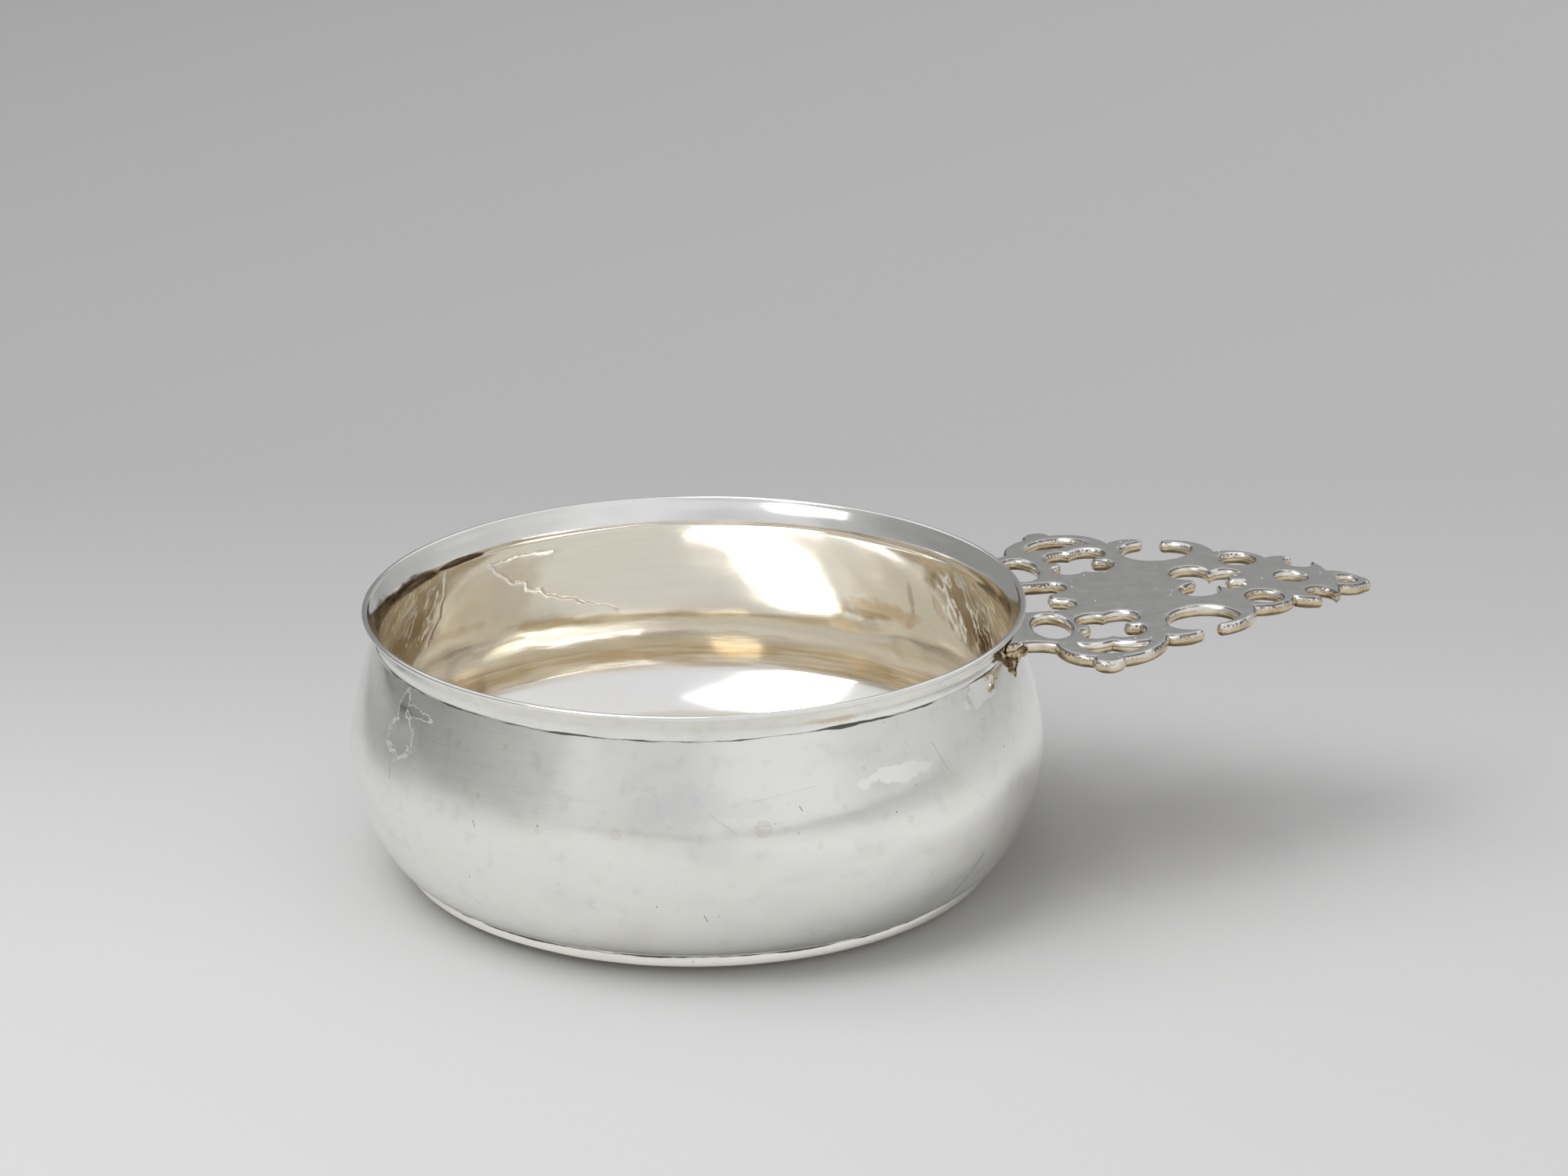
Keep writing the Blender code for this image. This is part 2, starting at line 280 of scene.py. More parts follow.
@dataclass(frozen=True)
class Viewpoint:
    """Where the object is seen from: degrees, and metres from the middle of the lip."""

    elevation: float = 19.4642
    distance: float = 0.7686852
    yaw: float = 1.3959
    pitch: float = 19.3313
    lens: float = 90.0
    handle_turn: float = 6.3
    lip_height: float = 0.0541

    @cache
    def axis(self) -> Vector:
        """Foot of the bowl's axis."""
        low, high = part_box("bowl")
        return Vector(((low[0] + high[0]) / 2.0, (low[1] + high[1]) / 2.0, 0.0))

    def turn(self) -> Matrix:
        """Turns (right, away, up) as the viewer sees them into the part's own directions."""
        return Matrix.Rotation(-math.radians(self.handle_turn), 3, "Z")

    def direction(self, right: float, away: float, up: float) -> Vector:
        """A direction that the viewer sees, in the part's own directions."""
        return self.turn() @ Vector((right, away, up))

    def place(self, right: float, away: float, up: float) -> Vector:
        """A place given from the foot of the bowl's axis, as the viewer sees it."""
        return self.axis() + self.direction(right, away, up)

    def make_camera(self) -> bpy.types.Object:
        """Makes the camera and hands it to the scene.

        Returns:
            The camera's object.
        """
        elevation, yaw, pitch = (math.radians(a) for a in (self.elevation, self.yaw, self.pitch))
        back = -self.distance * math.cos(elevation)
        eye = self.place(0.0, back, self.lip_height + self.distance * math.sin(elevation))
        forward = self.direction(math.sin(yaw) * math.cos(pitch), math.cos(yaw) * math.cos(pitch),
                                 -math.sin(pitch))
        right = self.direction(math.cos(yaw), -math.sin(yaw), 0.0)
        up = right.cross(forward)
        data = bpy.data.cameras.new("camera")
        data.lens = self.lens
        data.clip_start = 0.01
        camera = bpy.data.objects.new("camera", data)
        turned = Matrix((right, up, -forward)).transposed()
        camera.matrix_world = Matrix.Translation(eye) @ turned.to_4x4()
        bpy.context.scene.collection.objects.link(camera)
        bpy.context.scene.camera = camera
        return camera


def new_object(name: str, mesh: bpy.types.Mesh) -> bpy.types.Object:
    """Makes an object at the origin from a mesh that holds its own place."""
    piece = bpy.data.objects.new(name, mesh)
    bpy.context.scene.collection.objects.link(piece)
    return piece


def new_material(name: str) -> tuple[bpy.types.Material, Wiring, bpy.types.Node]:
    """Makes a material with an empty Principled shader.

    Args:
        name: The material's name.

    Returns:
        The material, the wiring for its tree and its shader.
    """
    material = bpy.data.materials.new(name)
    material.use_nodes = True
    return material, Wiring(material.node_tree), material.node_tree.nodes["Principled BSDF"]


@dataclass(frozen=True)
class Wear:
    """Places on the bowl with wear, tarnish and painted reflections, and how their borders fade.

    A place is (angle, height, half width, half height), in degrees round the bowl as the viewer sees it and
    millimetres. Where places differ in strength, each has its own as a fifth number. Ragged is how far noise
    moves a border, and full is where a place shows fully, both as shares of its size.
    """

    places: tuple
    ragged: float
    full: float

    def singles(self) -> list[tuple["Wear", float]]:
        """Each place by itself, with its strength."""
        return [(replace(self, places=(tuple(place),)), strength) for *place, strength in self.places]


@dataclass(frozen=True)
class Sheet:
    """The bowl's sheet as its finish sees it: coordinates, attributes and the noise that its marks share.

    x and y are distances from the bowl's axis.
    """

    wires: Wiring
    spot: Spot
    place: Socket
    x: Socket
    y: Socket
    level: Socket
    inside: Socket
    outside: Socket
    edges: Socket
    streaks: Socket
    mottle: Socket
    swirl: Socket

    @classmethod
    def lay(cls, wires: Wiring, spot: Spot) -> "Sheet":
        """Reads the coordinates and the bowl's level and inside attributes, and adds the shared noise.

        Args:
            wires: The material's wiring.
            spot: Gives the place on the outer wall at an angle and a height.

        Returns:
            The sheet.
        """
        place = wires.node("ShaderNodeTexCoord").outputs["Object"]
        axis = spot(0.0, 0.0) * 0.5 + spot(180.0, 0.0) * 0.5
        off_axis = wires.split(wires.vector("SUBTRACT", place, tuple(axis)).outputs[0])
        inside = wires.node("ShaderNodeAttribute", attribute_name="inside").outputs["Fac"]
        return cls(
            wires=wires,
            spot=spot,
            place=place,
            x=off_axis[0],
            y=off_axis[1],
            level=wires.node("ShaderNodeAttribute", attribute_name="level").outputs["Fac"],
            inside=inside,
            outside=wires.other(inside),
            edges=wires.noise(place, 3.5 * MM, 4.0),
            streaks=wires.noise(place, 0.32 * MM, 3.0, stretch=(34.0, 34.0, 1.0), turn=(2.0, 3.0, 0.0)),
            mottle=wires.noise(place, 7.0 * MM, 4.0, stretch=(2.2, 2.2, 1.0)),
            swirl=wires.noise(place, 2.8 * MM, 4.0, stretch=(1.0, 1.0, 3.4), turn=(12.0, 0.0, 0.0)),
        )

    def levels(self, span: tuple[float, float, float, float]) -> Socket:
        """Is 1 between levels in millimetres: where it starts, is full, is still full and ends."""
        return self.wires.band(self.level, tuple(height * MM for height in span))

    def fade(self, start: float, end: float) -> Socket:
        """Goes from 0 at one level to 1 at another, in millimetres."""
        return self.wires.step(self.level, start * MM, end * MM)

    def steps(self, angle: float, height: float) -> tuple[Vector, Vector]:
        """Short ways round and up the outer wall at an angle and a height."""
        around = self.spot(angle + 1.0, height) - self.spot(angle - 1.0, height)
        upward = self.spot(angle, height + 1.0) - self.spot(angle, height - 1.0)
        return around, upward

    def outward(self, angle: float, height: float) -> Vector:
        """Direction in which the outer wall faces at an angle and a height."""
        around, upward = self.steps(angle, height)
        return around.cross(upward).normalized()

    def patch(self, wear: Wear, edges: Socket | None = None) -> Socket:
        """Grows from 0 in the middle of the nearest place to 1 at its ragged border, and on beyond.

        Args:
            wear: The places.
            edges: Noise that makes the border ragged, if it isn't the shared one.

        Returns:
            The distance, as a share of the worn place's size.
        """
        wires = self.wires
        nearest = FAR_AWAY
        for angle, height, wide, tall in wear.places:
            around, upward = (way.normalized() for way in self.steps(angle, height))
            off = wires.vector("SUBTRACT", self.place, tuple(self.spot(angle, height))).outputs[0]
            deep = 1.5 * wide * MM
            axes = (around / (wide * MM), upward / (tall * MM), around.cross(upward) / deep)
            shares = [wires.dot(off, axis) for axis in axes]
            nearest = wires.math("MINIMUM", nearest, wires.length(wires.join(*shares)))
        return wires.total(nearest, wires.centred(self.edges if edges is None else edges, wear.ragged))

    def worn(self, wear: Wear, side: Socket) -> Socket:
        """Is 1 in the places on one side of the sheet, and fades at their ragged borders."""
        return self.wires.product(self.wires.step(self.patch(wear), 1.0, wear.full), side)

    def strongest(self, wear: Wear, side: Socket) -> Socket:
        """Finds the strongest of places that differ in strength.

        Args:
            wear: The places, each with its strength.
            side: 1 on the side that has them.

        Returns:
            A number from 0 to 1.
        """
        found = [self.wires.product(self.worn(one, side), strength) for one, strength in wear.singles()]
        return self.wires.largest(*found)


@dataclass(frozen=True)
class Marks:
    """How strongly each kind of wear, each painted reflection and each part shows on the bowl, from 0 to 1.
    """

    dent_reflection: Socket
    outline: Socket
    polished: Socket
    clouded: Socket
    brushed: Socket
    handled: Socket
    foot: Socket
    above_foot: Socket
    warm: Socket
    floor: Socket
    marbled_reflection: Socket
    reflection_ridges: Socket
    glint: Socket
    grime: Socket


@dataclass(frozen=True)
class SilverFinish:
    """Old hammered silver: brushed and worn outside, polished and warm inside, with tarnish in its creases,
    and reflections painted inside and in a dent outside.

    Places on the wall are in degrees round it as the viewer sees it, and millimetres.
    """

    outside: tuple = (0.935, 0.935, 0.893, 1.0)
    inside: tuple = (0.895, 0.847, 0.742, 1.0)
    bright: tuple = (0.955, 0.95, 0.922, 1.0)
    # Brown of tarnish, also the brown of the reflections painted inside
    tarnish: tuple = (0.66, 0.50, 0.31, 1.0)
    # Painted dark reflection under the lip at both ends inside
    burnt: tuple = (0.085, 0.052, 0.026, 1.0)
    umber: tuple = (0.30, 0.20, 0.10, 1.0)
    # Painted bright reflection on the veins and the wavy lines inside
    glint: tuple = (1.0, 0.99, 0.955, 1.0)
    foot: tuple = (0.975, 0.955, 0.89, 1.0)
    dulled: tuple = (0.74, 0.74, 0.73, 1.0)
    stain: tuple = (0.66, 0.61, 0.49, 1.0)
    foxing: tuple = (0.70, 0.58, 0.34, 1.0)
    grime: tuple = (0.075, 0.065, 0.055, 1.0)
    # Pale residue and the painted bright rim of the dent's reflection
    rim_glint_and_residue: tuple = (0.92, 0.92, 0.91, 1.0)
    outside_roughness: float = 0.095
    inside_roughness: float = 0.125
    brushed_roughness: float = 0.12
    handled_roughness: float = 0.12
    dirt_roughness: float = 0.3
    uneven_roughness: float = 0.06
    polish: float = 0.6
    anisotropy: float = 0.5
    brushing_turn: float = 0.25
    # How strongly tarnish and the painted reflections show inside
    reflected_band_strength: float = 0.62
    warm_strength: float = 0.05
    swirled_reflection_strength: float = 0.36
    reflected_vein_strength: float = 0.8
    # How much each kind of wear dulls the silver, and how much the dent's painted dark reflection darkens it
    mottle_dulling: float = 0.36
    streak_dulling: float = 0.22
    blotch_dulling: float = 0.30
    dent_reflection_darkening: float = 0.48
    clouded_dulling: float = 0.26
    lip_dulling: float = 0.22
    # How strongly stains show outside, and the dent's painted pale rim
    cloud_strength: float = 0.22
    yellow_strength: float = 0.6
    foxed_strength: float = 0.24
    scattered_strength: float = 0.2
    rim_glint_strength: float = 0.24
    pit_strength: float = 0.75
    line_strength: float = 0.92
    scratch_strength: float = 0.8
    # How much of the metal's mirror is lost where the dent's pale rim and the bright reflections are painted
    rim_glint_chalk: float = 0.18
    glint_chalk: float = 0.2
    # How far the shading leans back, up or out, and how much of the foot's shading that replaces
    polished_lean: float = 0.22
    floor_lift: float = 0.42
    low_wall_lift: float = 0.08
    glint_lift: float = 0.34
    foot_lean: float = 0.20
    foot_share: float = 0.85
    # Relief too fine for the sheet, as strength and depth
    brushing: tuple = (0.12, 0.02 * MM)
    hammering: tuple = (0.35, 0.05 * MM)
    # Levels of lines of dirt, and of bands inside: where a band starts, is full, is still full and ends
    crease_level: float = 48.5 * MM
    crease_width: float = 0.22 * MM
    foot_level: float = 3.90 * MM
    foot_width: float = 0.24 * MM
    warm_span: tuple = (13.5, 16.0, 47.6, 49.2)
    # Brown band inside where the wall's reflection is painted
    reflected_band_span: tuple = (14.6, 15.8, 19.2, 21.2)
    rippled_span: tuple = (14.5, 18.0, 26.0, 30.0)
    # Levels at which the floor, the lip and the lowest wall fade in
    floor_fade: tuple = (16.2, 14.2)
    lip_fade: tuple = (48.8, 49.6)
    low_wall_fade: tuple = (13.0, 6.0)
    # The dent's painted pale rim, as a band in shares of its size
    outline_span: tuple = (0.88, 0.98, 1.04, 1.20)
    # Worn places outside, and the dent whose dark reflection is painted
    brushed: Wear = Wear(((-136.0, 36.0, 42.0, 26.0),), 0.2, 0.45)
    handled: Wear = Wear(((-32.0, 40.0, 22.0, 14.0),), 0.4, 0.5)
    dent_reflection: Wear = Wear(((-148.5, 39.2, 4.2, 3.9), (-149.4, 44.0, 1.6, 3.4), (-145.2, 44.6, 4.4, 0.9)),
                        1.5, 0.94)
    polished: Wear = Wear(((-55.0, 38.6, 8.4, 1.9), (-32.0, 46.7, 7.5, 2.4)), 2.4, 0.88)
    clouded: Wear = Wear(((-90.0, 37.5, 8.0, 4.5), (-83.0, 36.6, 6.0, 2.2), (-97.0, 36.5, 5.0, 3.5)),
                         1.6, 0.62)
    yellowed: Wear = Wear(((-66.0, 50.6, 7.0, 1.1),), 2.0, 0.3)
    # Places inside: painted dark reflections under the lip at both ends, brown tarnish, painted marbled
    # reflections and smudges
    dark_reflection: Wear = Wear(((177.0, 48.7, 19.0, 3.0), (157.0, 48.6, 13.0, 1.9), (141.0, 48.7, 9.0, 0.8),
                           (2.0, 49.0, 12.0, 3.0), (16.0, 48.6, 8.0, 1.4)), 0.5, 0.66)
    browned: Wear = Wear(((27.5, 32.3, 4.6, 4.4, 0.75), (40.0, 44.0, 2.6, 4.2, 0.5),
                          (46.5, 38.0, 1.1, 7.5, 0.4), (57.0, 30.2, 9.0, 1.3, 0.35)), 1.4, 0.4)
    marbled_reflection: Wear = Wear(((160.0, 40.0, 20.0, 11.0), (27.0, 39.0, 18.0, 11.0)), 0.6, 0.7)
    smudged: Wear = Wear(((54.0, 31.6, 14.0, 3.4, 0.7), (25.0, 34.5, 4.5, 4.6, 0.85),
                          (38.0, 43.5, 3.5, 3.6, 0.45), (138.0, 30.8, 9.0, 1.5, 0.4),
                          (118.0, 28.2, 14.0, 1.0, 0.3), (90.0, 26.6, 15.0, 0.9, 0.35)), 1.6, 0.35)
    # Painted bright reflections inside, as wavy lines with a slight relief, each through places (angle,
    # height)
    reflection_ridges: tuple = (((144.5, 47.5), (143.6, 44.0), (143.0, 40.0), (142.6, 36.0), (145.5, 31.0)),
                     ((118.0, 45.4), (131.5, 45.0), (128.5, 41.5), (124.0, 38.5), (118.0, 34.5),
                      (104.0, 28.5)))
    reflection_ridge_width: float = 0.75 * MM
    reflection_ridge_sway: float = 4.0 * MM
    # Spots: (angle, height, radius)
    foxed: tuple = ((-102.5, 31.8, 1.3), (-79.5, 32.8, 1.9), (-133.0, 42.6, 1.1), (-127.0, 34.6, 0.9),
                    (-123.0, 44.4, 0.8), (-115.5, 30.6, 0.8), (-70.6, 28.4, 0.7), (-62.0, 41.0, 0.8),
                    (-66.0, 35.0, 0.7), (-54.5, 30.0, 1.0))
    # Scratches: (angle, height) of the start and the end, then the half width
    scratches: tuple = ((-48.0, 42.4, -45.5, 36.6, 0.10), (-45.5, 36.6, -37.5, 28.4, 0.10),
                        (-88.0, 36.0, -83.6, 32.0, 0.08), (-81.0, 37.8, -70.5, 39.4, 0.08),
                        (-40.5, 8.6, -35.0, 15.8, 0.24), (-127.6, 29.8, -127.0, 28.6, 0.14),
                        (-149.8, 32.6, -149.2, 30.6, 0.14), (-88.8, 15.8, -88.2, 14.4, 0.16),
                        (-73.6, 36.2, -73.2, 35.4, 0.16))

    def material(self, spot: Spot) -> bpy.types.Material:
        """Builds the material, which reads the bowl's level and inside attributes.

        Args:
            spot: Gives the place on the outer wall at an angle and a height.

        Returns:
            The material.
        """
        material, wires, shader = new_material("hammered_silver")
        sheet = Sheet.lay(wires, spot)
        marks = self._marks(sheet)
        wires.feed(shader.inputs["Base Color"], self._weathered(sheet, marks, self._tarnished(sheet, marks)))
        chalk = wires.largest(wires.product(marks.outline, self.rim_glint_chalk),
                              wires.product(marks.glint, self.glint_chalk))
        wires.feed(shader.inputs["Metallic"], wires.other(chalk))
        wires.feed(shader.inputs["Roughness"], self._roughness(sheet, marks))
        round_axis = wires.join(wires.product(sheet.y, -1.0), wires.total(sheet.x, 0.01 * MM), 0.0)
        wires.feed(shader.inputs["Tangent"], round_axis)
        shader.inputs["Anisotropic"].default_value = self.anisotropy
        shader.inputs["Anisotropic Rotation"].default_value = self.brushing_turn
        wires.feed(shader.inputs["Normal"], self._relief(sheet, marks, self._facing(sheet, marks)))
        return material

    def _marks(self, sheet: Sheet) -> Marks:
        """Finds where each kind of wear and each painted reflection shows.

        Args:
            sheet: The sheet that is worn.

        Returns:
            The marks.
        """
        wires = sheet.wires
        crumbled = wires.noise(sheet.place, 2.2 * MM, 5.0, spread=0.62)
        broken = wires.step(wires.noise(sheet.place, 1.6 * MM, 3.0), 0.36, 0.50)
        # Where the dent's dark reflection and its pale rim are painted
        dent_reflection = sheet.patch(self.dent_reflection, crumbled)
        border = wires.band(dent_reflection, self.outline_span)
        foot_line = wires.step(sheet.level, self.foot_level + 0.25 * MM, self.foot_level + 0.1 * MM)
        foot = wires.product(foot_line, sheet.outside)
        marbled_reflection = sheet.worn(self.marbled_reflection, sheet.inside)
        # Bright veins of the painted marbled reflection
        reflected_vein = wires.step(wires.math("ABSOLUTE", wires.math("SUBTRACT", sheet.swirl, 0.46)), 0.055, 0.015)
        reflection_ridges = self._reflection_ridges(sheet)
        return Marks(
            dent_reflection=wires.product(wires.step(dent_reflection, 1.0, self.dent_reflection.full), sheet.outside),
            outline=wires.product(border, sheet.outside, broken),
            polished=sheet.worn(self.polished, sheet.outside),
            clouded=sheet.worn(self.clouded, sheet.outside),
            brushed=sheet.worn(self.brushed, sheet.outside),
            handled=sheet.worn(self.handled, sheet.outside),
            foot=foot,
            above_foot=wires.math("SUBTRACT", sheet.outside, foot),
            warm=wires.product(sheet.levels(self.warm_span), sheet.inside),
            floor=wires.product(sheet.fade(*self.floor_fade), sheet.inside),
            marbled_reflection=marbled_reflection,
            reflection_ridges=reflection_ridges,
            glint=wires.largest(wires.product(reflected_vein, marbled_reflection, self.reflected_vein_strength), reflection_ridges),
            grime=self._grime(sheet),
        )

    def _tarnished(self, sheet: Sheet, marks: Marks) -> Socket:
        """Colours the bare metal, the tarnish inside, and the reflections painted inside.

        Args:
            sheet: The sheet that is coloured.
            marks: Where its wear and painted reflections show.

        Returns:
            The colour.
        """
        wires = sheet.wires
        colour = wires.tint(marks.warm, wires.tint(sheet.inside, self.outside, self.bright), self.inside)
        lines = wires.noise(sheet.place, 1.1 * MM, 4.0, stretch=(16.0, 16.0, 1.0))
        # Lined brown band where the wall's reflection is painted
        reflected_band = wires.product(sheet.levels(self.reflected_band_span), sheet.inside)
        lined = wires.product(wires.step(lines, 0.34, 0.60),
                              wires.total(wires.product(reflected_band, self.reflected_band_strength),
                                          wires.product(marks.warm, self.warm_strength)))
        # Brown swirls of the painted marbled reflection
        swirled_reflection = wires.product(wires.step(sheet.swirl, 0.50, 0.60), marks.marbled_reflection, self.swirled_reflection_strength)
        brown = wires.largest(lined, sheet.strongest(self.smudged, sheet.inside), swirled_reflection)
        colour = wires.tint(brown, colour, self.tarnish)
        # Painted bright reflection on the veins and the wavy lines
        colour = wires.tint(marks.glint, colour, self.glint)
        colour = wires.tint(sheet.strongest(self.browned, sheet.inside), colour, self.umber)
        # Painted dark reflection under the lip at both ends, streaked
        streaky = wires.math("MULTIPLY_ADD", wires.step(sheet.streaks, 0.62, 0.46), 0.2, 0.8)
        dark_reflection = wires.product(sheet.worn(self.dark_reflection, wires.step(sheet.inside, 0.6, 0.9)), streaky)
        return wires.tint(dark_reflection, colour, self.burnt)

    def _weathered(self, sheet: Sheet, marks: Marks, colour: Socket) -> Socket:
        """Colours the foot, what has dulled and dirtied the silver, its stains, and the dent's painted dark
        reflection and pale rim.

        Args:
            sheet: The sheet that is coloured.
            marks: Where its wear and painted reflections show.
            colour: The colour before that.

        Returns:
            The colour.
        """
        wires = sheet.wires
        colour = wires.tint(marks.foot, colour, self.foot)
        brushed = wires.total(marks.brushed, 0.35)
        dull = wires.total(
            wires.product(wires.step(sheet.mottle, 0.46, 0.76), self.mottle_dulling),
            wires.product(wires.step(sheet.streaks, 0.46, 0.78), brushed, self.streak_dulling),
            wires.product(wires.step(sheet.edges, 0.55, 0.70), self.blotch_dulling))
        lip = wires.product(sheet.fade(*self.lip_fade), sheet.inside)
        # Adds the dent's painted dark reflection to the dulling
        dull = wires.total(
            wires.product(dull, marks.above_foot),
            wires.product(marks.dent_reflection, self.dent_reflection_darkening),
            wires.product(marks.clouded, self.clouded_dulling),
            wires.product(lip, wires.step(sheet.mottle, 0.46, 0.66), self.lip_dulling))
        colour = wires.tint(dull, colour, self.dulled)
        cloud = wires.step(wires.noise(sheet.place, 22.0 * MM, 4.0), 0.54, 0.78)
        colour = wires.tint(wires.product(cloud, sheet.outside, self.cloud_strength), colour, self.stain)
        yellowed = wires.step(sheet.patch(self.yellowed), 1.0, self.yellowed.full)
        foxing = wires.largest(self._foxing(sheet), wires.product(yellowed, self.yellow_strength))
        colour = wires.tint(wires.product(foxing, sheet.outside), colour, self.foxing)
        colour = wires.tint(marks.grime, colour, self.grime)
        # Pale residue and the painted bright rim round the dent
        return wires.tint(wires.product(marks.outline, self.rim_glint_strength), colour, self.rim_glint_and_residue)

    def _roughness(self, sheet: Sheet, marks: Marks) -> Socket:
        """Finds how rough the silver is.

        Args:
            sheet: The sheet that is worn.
            marks: Where its wear and painted reflections show.

        Returns:
            The roughness.
        """
        wires = sheet.wires
        uneven = wires.noise(sheet.place, 16.0 * MM, 4.0)
        roughness = wires.total(
            wires.blend(sheet.inside, self.outside_roughness, self.inside_roughness),
            wires.product(uneven, self.uneven_roughness),
            wires.product(marks.brushed, self.brushed_roughness),
            wires.product(marks.handled, self.handled_roughness),
            wires.product(marks.grime, self.dirt_roughness),
            wires.product(marks.outline, self.dirt_roughness),
            -0.5 * self.uneven_roughness)
        smooth = wires.product(wires.largest(marks.dent_reflection, marks.polished), self.polish)
        return wires.product(roughness, wires.other(smooth))

    def _facing(self, sheet: Sheet, marks: Marks) -> Socket:
        """Leans the shading of the polished places, the floor, the lowest wall and the foot.

        Args:
            sheet: The sheet that is shaded.
            marks: Where its wear and painted reflections show.

        Returns:
            The direction in which the surface seems to face.
        """
        wires = sheet.wires
        backward = wires.join(sheet.y, wires.product(sheet.x, -1.0), 0.0)
        backward = wires.vector("NORMALIZE", backward).outputs[0]
        lean = wires.scaled(backward, wires.product(marks.polished, self.polished_lean))
        normal = wires.node("ShaderNodeNewGeometry").outputs["Normal"]
        facing = wires.vector("ADD", normal, lean).outputs[0]
        low_wall = wires.product(sheet.fade(*self.low_wall_fade), marks.above_foot)
        lift = wires.total(wires.product(marks.floor, self.floor_lift),
                           wires.product(low_wall, self.low_wall_lift),
                           wires.product(marks.glint, self.glint_lift))
        facing = wires.vector("ADD", facing, wires.join(0.0, 0.0, lift)).outputs[0]
        outward = wires.vector("NORMALIZE", wires.join(sheet.x, sheet.y, 0.0)).outputs[0]
        upright = wires.vector("ADD", outward, (0.0, 0.0, self.foot_lean)).outputs[0]
        inputs = {0: wires.product(marks.foot, self.foot_share), 4: facing, 5: upright}
        facing = wires.node("ShaderNodeMix", inputs, data_type="VECTOR").outputs[1]
        return wires.vector("NORMALIZE", facing).outputs[0]

    def _relief(self, sheet: Sheet, marks: Marks, facing: Socket) -> Socket:
        """Adds brush lines, hammer marks and the wavy relief inside.

        Args:
            sheet: The sheet that is shaded.
            marks: Where its wear and painted reflections show.
            facing: The direction in which the surface seems to face.

        Returns:
            The bumpy normal.
        """
        wires = sheet.wires
        slanted = wires.noise(sheet.place, 0.30 * MM, 2.0, stretch=(22.0, 22.0, 1.0), turn=(38.0, 24.0, 0.0))
        fine = wires.total(sheet.streaks, wires.product(slanted, 0.6))
        brushed = wires.bump(fine, *self.brushing, facing)
        planished = wires.noise(sheet.place, 1.8 * MM, 3.0, stretch=(6.0, 6.0, 1.0))
        rippled = wires.total(wires.product(sheet.levels(self.rippled_span), 1.5),
                              wires.product(marks.warm, 0.4))
        dimples = wires.total(wires.noise(sheet.place, 4.5 * MM, 1.0),
                              wires.product(planished, rippled, sheet.inside),
                              wires.product(sheet.swirl, marks.marbled_reflection, 5.0),
                              wires.product(marks.reflection_ridges, 4.0))
        return wires.bump(dimples, *self.hammering, brushed)

    def _reflection_ridges(self, sheet: Sheet) -> Socket:
        """Finds the wavy lines inside where bright reflections are painted.

        Args:
            sheet: The sheet that has them.

        Returns:
            A number from 0 to 1.
        """
        wires = sheet.wires
        sway = self.reflection_ridge_sway
        inputs = {"Vector": sheet.place, "Scale": 1.0 / sway, "Detail": 4.0}
        wave = wires.node("ShaderNodeTexNoise", inputs).outputs["Color"]
        wave = wires.vector("MULTIPLY_ADD", wave, (sway,) * 3, (-0.5 * sway,) * 3).outputs[0]
        wavy = wires.vector("ADD", sheet.place, wave).outputs[0]
        found = []
        for line in self.reflection_ridges:
            for start, end in zip(line, line[1:]):
                ends = (sheet.spot(*start), sheet.spot(*end))
                found.append(wires.stroke(wavy, *ends, self.reflection_ridge_width, sheet.outward(*start)))
        return wires.product(wires.largest(*found), sheet.inside)

    def _foxing(self, sheet: Sheet) -> Socket:
        """Finds how yellow the surface is with small spots, paler in their middle, some in known places.

        Args:
            sheet: The sheet that has them.

        Returns:
            A number from 0 to 1.
        """
        wires = sheet.wires
        spots = wires.step(wires.cells(sheet.place, 12.0 * MM), 0.060, 0.035)
        somewhere = wires.step(wires.noise(sheet.place, 25.0 * MM, 2.0), 0.46, 0.62)
        foxing = wires.product(spots, somewhere, self.scattered_strength)
        for angle, height, size in self.foxed:
            middle = sheet.spot(angle, height)
            pale = wires.near(sheet.place, middle, 0.2 * size * MM, 0.7 * size * MM)
            ring = wires.math("SUBTRACT", wires.near(sheet.place, middle, 0.75 * size * MM, size * MM),
                              wires.product(pale, 0.5))
            foxing = wires.largest(foxing, wires.product(ring, self.foxed_strength))
        return foxing

    def _grime(self, sheet: Sheet) -> Socket:
        """Finds the dark dirt in the crease under the lip, above the foot, in pits and along scratches.

        Args:
            sheet: The sheet that has it.

        Returns:
            A number from 0 to 1.
        """
        wires = sheet.wires
        wander = wires.centred(wires.noise(sheet.place, 6.0 * MM, 5.0), 0.7 * MM)
        thin = wires.math("MULTIPLY_ADD", wires.noise(sheet.place, 11.0 * MM, 4.0), 1.0 * MM, -0.48 * MM)
        pits = wires.step(wires.cells(sheet.place, 4.4 * MM), 0.050, 0.025)
        somewhere = wires.step(wires.noise(sheet.place, 18.0 * MM, 2.0), 0.42, 0.58)
        found = [wires.product(pits, somewhere, self.pit_strength)]
        for middle, width in ((self.crease_level, self.crease_width), (self.foot_level, self.foot_width)):
            off = wires.math("ABSOLUTE", wires.math("SUBTRACT", wires.total(sheet.level, wander), middle))
            line = wires.step(wires.total(off, thin), width, 0.2 * width)
            found.append(wires.product(line, self.line_strength))
        for start_angle, start_height, end_angle, end_height, width in self.scratches:
            start = sheet.spot(start_angle, start_height)
            end = sheet.spot(end_angle, end_height)
            line = wires.stroke(sheet.place, start, end, width * MM, sheet.outward(start_angle, start_height))
            found.append(wires.product(line, min(self.scratch_strength, 4.0 * width)))
        return wires.product(wires.largest(*found), sheet.outside)


